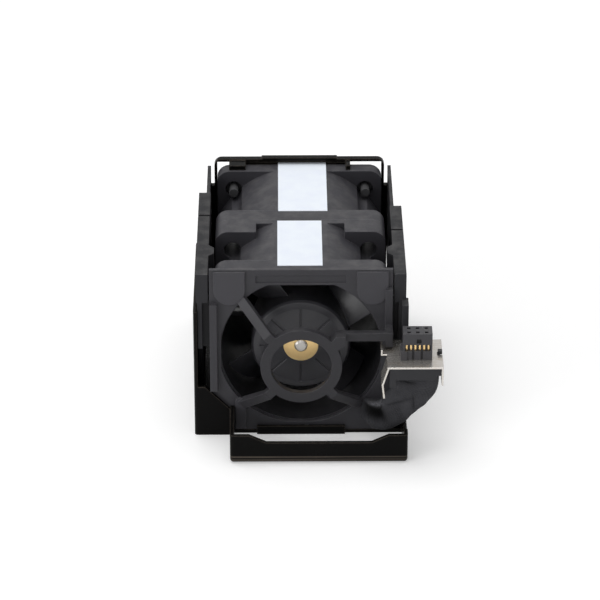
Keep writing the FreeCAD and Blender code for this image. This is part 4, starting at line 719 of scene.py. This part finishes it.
def wrapped_lead(soft):
    """Cloth wrap: a flattened round section carried along the route.

    Section: across = a cos t and thick = b sin t, each flattened. With s along the lead and x
    across it in millimetres, and each term limited to its own side of the section:
    the inner side is fuller by shoulder hill(s, 0), and the outer side slimmer by waist hill(s);
    the front is pushed in by a dent, hollow exp(-q^1.4) with q = (ds^2 + dx^2) / r^2, and by
    creases, which are hills across slanted lines; towards the end the front flares, the outer
    side reaches out and the inner side draws in; the whole swells by the mean of three slow
    sines, which fades out at the end.
    """
    places, alongs, broads, distance = lead_route(soft).arrays()
    thins = np.cross(alongs, broads)
    angle = np.linspace(0.0, 2 * math.pi, WRAP_POINTS, endpoint=False)
    s, t = np.meshgrid(distance / MM, angle, indexing="ij")
    total = s[-1, 0]
    inner, outer = np.clip(np.cos(t), 0.0, 1.0), np.clip(-np.cos(t), 0.0, 1.0)
    facing = np.clip(-np.sin(t), 0.0, 1.0)
    front = facing ** 0.5
    across, thick = flattened(np.cos(t)), flattened(np.sin(t))
    x = soft.half_width / MM * across

    slow = sum(np.sin(rate * s + turns * t + start) for rate, turns, start in SWELLS) / len(SWELLS)
    swell = soft.swell * slow * np.clip((total - s) / SWELL_FADE, 0.0, 1.0)
    creases = front * sum(hill(x, middle + slant * (s - start), CREASE_HALF) * hill(s, start, length, 4)
                          for start, middle, slant, length in CREASES)
    dent = front * np.exp(-(((s - DENT_S) ** 2 + (x - DENT_X) ** 2) / DENT_R ** 2) ** DENT_POWER)
    shoulder = soft.shoulder * hill(s, 0.0, SHOULDER_LENGTH) * inner
    waist = WAIST_DEPTH * hill(s, WAIST_S, WAIST_HALF) * outer
    ending = smooth(s, ENDING_S, total)
    reach = (OUTER_REACH * outer - INNER_DRAW * inner) * ending
    flare = FLARE_HEIGHT * hill(s, total, FLARE_LENGTH) * facing * (FLARE_EVEN + (1.0 - FLARE_EVEN) * outer)

    broad = (soft.half_width - waist + swell) * across + shoulder + np.where(across < 0.0, -reach, reach)
    thin = (soft.half_thick + swell) * thick + soft.crease * creases + soft.hollow * dent - flare
    points = places[:, None] + broad[..., None] * broads[:, None] + thin[..., None] * thins[:, None]
    around = 2 * (soft.half_width + soft.half_thick)
    mesh = wrap_mesh("lead_wrap", points, np.stack([t / (2 * math.pi) * around, s * MM], axis=-1))
    # Painted shade: the hollow attribute darkens the dent, the pocket and the creases.
    pocket = front * hill(s, POCKET_S, POCKET_LENGTH, 4) * hill(x, POCKET_X, POCKET_HALF, 4)
    point_values(mesh, "hollow", np.clip(np.maximum(pocket, dent) + CREASE_SHADE * creases, 0.0, 1.0))
    fringe = front * hill(s, FRAYED_S, FRAYED_LENGTH, 4) * hill(x, FRAYED_X, FRAYED_HALF, 4)
    point_values(mesh, "frayed", fringe)
    return linked("lead_wrap", mesh)


class FANMODULE_OT_dress_plastics(bpy.types.Operator):
    """Give the moulded parts their finishes"""

    bl_idname = "fanmodule.dress_plastics"
    bl_label = "Moulded parts"

    def execute(self, context):
        chosen = context.scene.fanmodule_plastic
        grain = chosen.grain
        face = moulded("frame plastic", chosen.frame, grain, shade=frame_shade)
        rails = moulded("rail plastic", chosen.rails, grain, edge=2.6, specular=0.19, shade=rail_shade)
        casing = moulded("casing plastic", chosen.casing, grain, roughness=0.46, shade=bore_shade)
        # The rotor's higher edge factor paints stronger highlights along its ribs and rims.
        rotor = moulded("rotor plastic", chosen.rotor, 0.16 * MM, roughness=0.34, edge=3.2, dust=0.05,
                        specular=0.42)
        rubber = moulded("pin rubber", chosen.rubber, 0.3 * MM, roughness=0.7, dust=0.15)
        magnet = moulded("bonded magnet", chosen.magnet, 0.1 * MM, roughness=0.6, dust=0.0)
        face.give("face_frame")
        rails.give("left_rail", "right_rail")
        casing.give("front_casing", "rear_casing")
        rotor.give("front_impeller", "rear_impeller")
        rubber.give("mounting_pins")
        magnet.give("front_magnet", "rear_magnet")
        printed_board("motor board", chosen.board).give("front_circuit_board", "rear_circuit_board")
        return {"FINISHED"}


class FANMODULE_OT_dress_metals(bpy.types.Operator):
    """Give the bracket, the hoop and the motors' metal parts their finishes"""

    bl_idname = "fanmodule.dress_metals"
    bl_label = "Metal parts"

    def execute(self, context):
        chosen = context.scene.fanmodule_metal
        coated = coated_steel("black coated steel", chosen.black, chosen.black_edge_and_glint)
        coated.give("steel_bracket", "rear_hoop")
        brass = turned_metal("turned brass", chosen.brass, pitch=0.16 * MM, roughness=0.34)
        brass.give("front_bush", "rear_bush", "front_bearing_tube", "rear_bearing_tube")
        ground = turned_metal("ground steel", chosen.bright, pitch=0.10 * MM, roughness=0.30)
        ground.give("front_shaft", "rear_shaft", "front_clip", "rear_clip", "front_bearing_inner_rings",
                    "rear_bearing_inner_rings", "front_bearing_outer_rings", "rear_bearing_outer_rings")
        plated = turned_metal("plated steel", chosen.plain, pitch=0.40 * MM, roughness=0.42)
        plated.give("front_yoke", "rear_yoke", "front_stator_core", "rear_stator_core")
        wound_wire("copper wire", chosen.copper).give("front_windings", "rear_windings")
        return {"FINISHED"}


class FANMODULE_OT_dress_connector(bpy.types.Operator):
    """Give the connector and its sheet bracket their finishes"""

    bl_idname = "fanmodule.dress_connector"
    bl_label = "Connector"

    def execute(self, context):
        plastic, metal = context.scene.fanmodule_plastic, context.scene.fanmodule_metal
        moulded("block plastic", plastic.block, 0.2 * MM, roughness=0.45).give("connector_block")
        socket = moulded("socket plastic", plastic.socket, 0.12 * MM, roughness=0.42, edge=1.5,
                         shade=socket_shade)
        socket.give("connector_socket")
        plated_sheet("nickel sheet", metal.nickel, roughness=0.24).give("connector_shelf")
        plated_sheet("gold strip", metal.gold, roughness=0.20).give("connector_contacts")
        return {"FINISHED"}


class FANMODULE_OT_dress_labels(bpy.types.Operator):
    """Give the two blank labels their paper"""

    bl_idname = "fanmodule.dress_labels"
    bl_label = "Labels"

    def execute(self, context):
        blank_paper("label paper", context.scene.fanmodule_soft.paper).give("front_label", "rear_label")
        return {"FINISHED"}


class FANMODULE_OT_wrap_lead(bpy.types.Operator):
    """Lay the cloth wrap of the lead in place of its plain solid"""

    bl_idname = "fanmodule.wrap_lead"
    bl_label = "Wrapped lead"

    def execute(self, context):
        soft = context.scene.fanmodule_soft
        wrap = wrapped_lead(soft)
        wrap.data.materials.append(cloth_tape("cloth tape", soft.cloth, soft.thread).material)
        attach(wrap, "module")
        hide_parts("lead_sleeve")
        return {"FINISHED"}


def lamp(name, place, size, radiance):
    """Rectangular soft lamp of an even radiance, turned towards the module."""
    data = bpy.data.lights.new(name, "AREA")
    data.shape, data.size, data.size_y = "RECTANGLE", size[0], size[1]
    data.energy = radiance * math.pi * size[0] * size[1]
    made = bpy.data.objects.new(name, data)
    made.location = place
    made.rotation_euler = (Vector(LAMP_TARGET) - Vector(place)).to_track_quat("-Z", "Y").to_euler()
    bpy.context.scene.collection.objects.link(made)


def floor_sheet(colour):
    """Floor that runs up into a backdrop: flat, then a quarter circle of radius r, then upright."""
    near, reach, radius, wall, half = 2.2, 1.1, 0.5, 1.2, 2.4
    quarter = radius * math.pi / 2
    path = np.linspace(-near, reach + quarter + wall, 120)
    arc = np.clip(path - reach, 0.0, quarter) / radius
    y = np.minimum(path, reach) + radius * np.sin(arc)
    z = radius * (1 - np.cos(arc)) + np.maximum(path - reach - quarter, 0.0)
    x = np.linspace(-half, half, 40)
    grid = np.stack([np.broadcast_to(x, (len(path), len(x))), np.repeat(y[:, None], len(x), 1),
                     np.repeat(z[:, None], len(x), 1)], axis=-1)
    row, column = np.meshgrid(np.arange(len(path) - 1), np.arange(len(x) - 1), indexing="ij")
    corner = row * len(x) + column
    quads = np.stack([corner, corner + 1, corner + len(x) + 1, corner + len(x)], axis=-1).reshape(-1, 4)
    mesh = bpy.data.meshes.new("studio_floor")
    mesh.from_pydata(grid.reshape(-1, 3), [], quads.tolist())
    mesh.materials.append(pale_floor(colour).material)
    return linked("studio_floor", mesh)


def pale_floor(colour):
    """Matt paint that keeps the shadow, with a little white added for the camera and in gloss."""
    paint = Finish("pale floor", 0.75, specular=0.1)
    speck = paint.effect("grain", Scale=400.0, Flow=6.0)
    paint.feed("Base Color", paint.blend(speck["Shade"], scaled(colour, 0.985), colour))
    rays = paint.node("LightPath").outputs
    seen = paint.calc("MAXIMUM", rays["Is Camera Ray"], rays["Is Glossy Ray"])
    glow = paint.node("Emission", Color=(1.0, 1.0, 1.0), Strength=paint.calc("MULTIPLY", seen, 0.30))
    both = paint.node("AddShader")
    paint.put(both.inputs[0], paint.shader.outputs[0])
    paint.put(both.inputs[1], glow.outputs[0])
    paint.put(paint.tree.nodes["Material Output"].inputs["Surface"], both.outputs[0])
    return paint


def white_surround(ambient):
    """World that lights softly and shows white to the camera and in gloss."""
    world = bpy.data.worlds.new("white surround")
    world.use_nodes = True
    recipe = Recipe(world.node_tree)
    rays = recipe.node("LightPath").outputs
    mirrored = recipe.calc("MAXIMUM", rays["Is Glossy Ray"], rays["Is Transmission Ray"])
    seen = recipe.calc("MAXIMUM", rays["Is Camera Ray"], mirrored)
    ground = world.node_tree.nodes["Background"]
    ground.inputs["Color"].default_value = (1.0, 1.0, 1.0, 1.0)
    recipe.put(ground.inputs["Strength"], recipe.ramp(seen, 0.0, 1.0, ambient, 1.0))
    bpy.context.scene.world = world


def photo_camera(stage):
    """Long lens above the inlet side; the aim point stands a little off the picture's middle."""
    azimuth, elevation = stage.azimuth, stage.elevation
    look = Vector((-math.sin(azimuth) * math.cos(elevation), math.cos(azimuth) * math.cos(elevation),
                   -math.sin(elevation)))
    right = Vector((math.cos(azimuth), math.sin(azimuth), 0.0))
    up = right.cross(look)
    aim = Vector((0.0, FACE_Y, stage.aim_z))
    data = bpy.data.cameras.new("photo_camera")
    data.sensor_width, data.lens = SENSOR_WIDTH, stage.lens
    data.clip_start, data.clip_end = 0.05, 20.0
    made = bpy.data.objects.new("photo_camera", data)
    made.location = aim - look * stage.distance
    pictures = data.sensor_width / stage.lens
    towards = look + (up * stage.offset_y - right * stage.offset_x) * pictures
    made.rotation_euler = towards.to_track_quat("-Z", "Y").to_euler()
    bpy.context.scene.collection.objects.link(made)
    bpy.context.scene.camera = made


class FANMODULE_OT_build_stage(bpy.types.Operator):
    """Set up the camera, the lamps and the pale floor"""

    bl_idname = "fanmodule.build_stage"
    bl_label = "Stage"

    def execute(self, context):
        stage = context.scene.fanmodule_stage
        photo_camera(stage)
        white_surround(stage.ambient)
        for name, (place, size) in LAMPS.items():
            lamp(name + "_lamp", place, size, getattr(stage, name))
        floor_sheet(stage.floor)
        context.scene.view_settings.view_transform = "Standard"
        return {"FINISHED"}


class FANMODULE_PT_pieces(bpy.types.Panel):
    """Lists the steps and their settings"""

    bl_label = "Fan module"
    bl_idname = "FANMODULE_PT_pieces"
    bl_space_type = "VIEW_3D"
    bl_region_type = "UI"
    bl_category = "Fan module"

    def draw(self, context):
        for group in (context.scene.fanmodule_plastic, context.scene.fanmodule_metal,
                      context.scene.fanmodule_soft, context.scene.fanmodule_stage):
            box = self.layout.box()
            for key in group.bl_rna.properties.keys():
                if key not in ("rna_type", "name"):
                    box.prop(group, key)
        for step in STEPS:
            self.layout.operator(step.bl_idname)


SETTINGS = {"fanmodule_plastic": PlasticSettings, "fanmodule_metal": MetalSettings,
            "fanmodule_soft": SoftSettings, "fanmodule_stage": StageSettings}
STEPS = (FANMODULE_OT_dress_plastics, FANMODULE_OT_dress_metals, FANMODULE_OT_dress_connector,
         FANMODULE_OT_dress_labels, FANMODULE_OT_wrap_lead, FANMODULE_OT_build_stage)


def register():
    """Register the classes and hang the settings on the scene."""
    for kind in (*SETTINGS.values(), *STEPS, FANMODULE_PT_pieces):
        bpy.utils.register_class(kind)
    for key, kind in SETTINGS.items():
        setattr(bpy.types.Scene, key, bpy.props.PointerProperty(type=kind))


def unregister():
    """Undo register."""
    for key in SETTINGS:
        delattr(bpy.types.Scene, key)
    for kind in (FANMODULE_PT_pieces, *reversed(STEPS), *SETTINGS.values()):
        bpy.utils.unregister_class(kind)


def main():
    """Register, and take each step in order."""
    register()
    build_effects()
    for step in STEPS:
        family, name = step.bl_idname.split(".")
        getattr(getattr(bpy.ops, family), name)()


if __name__ == "__main__":
    main()
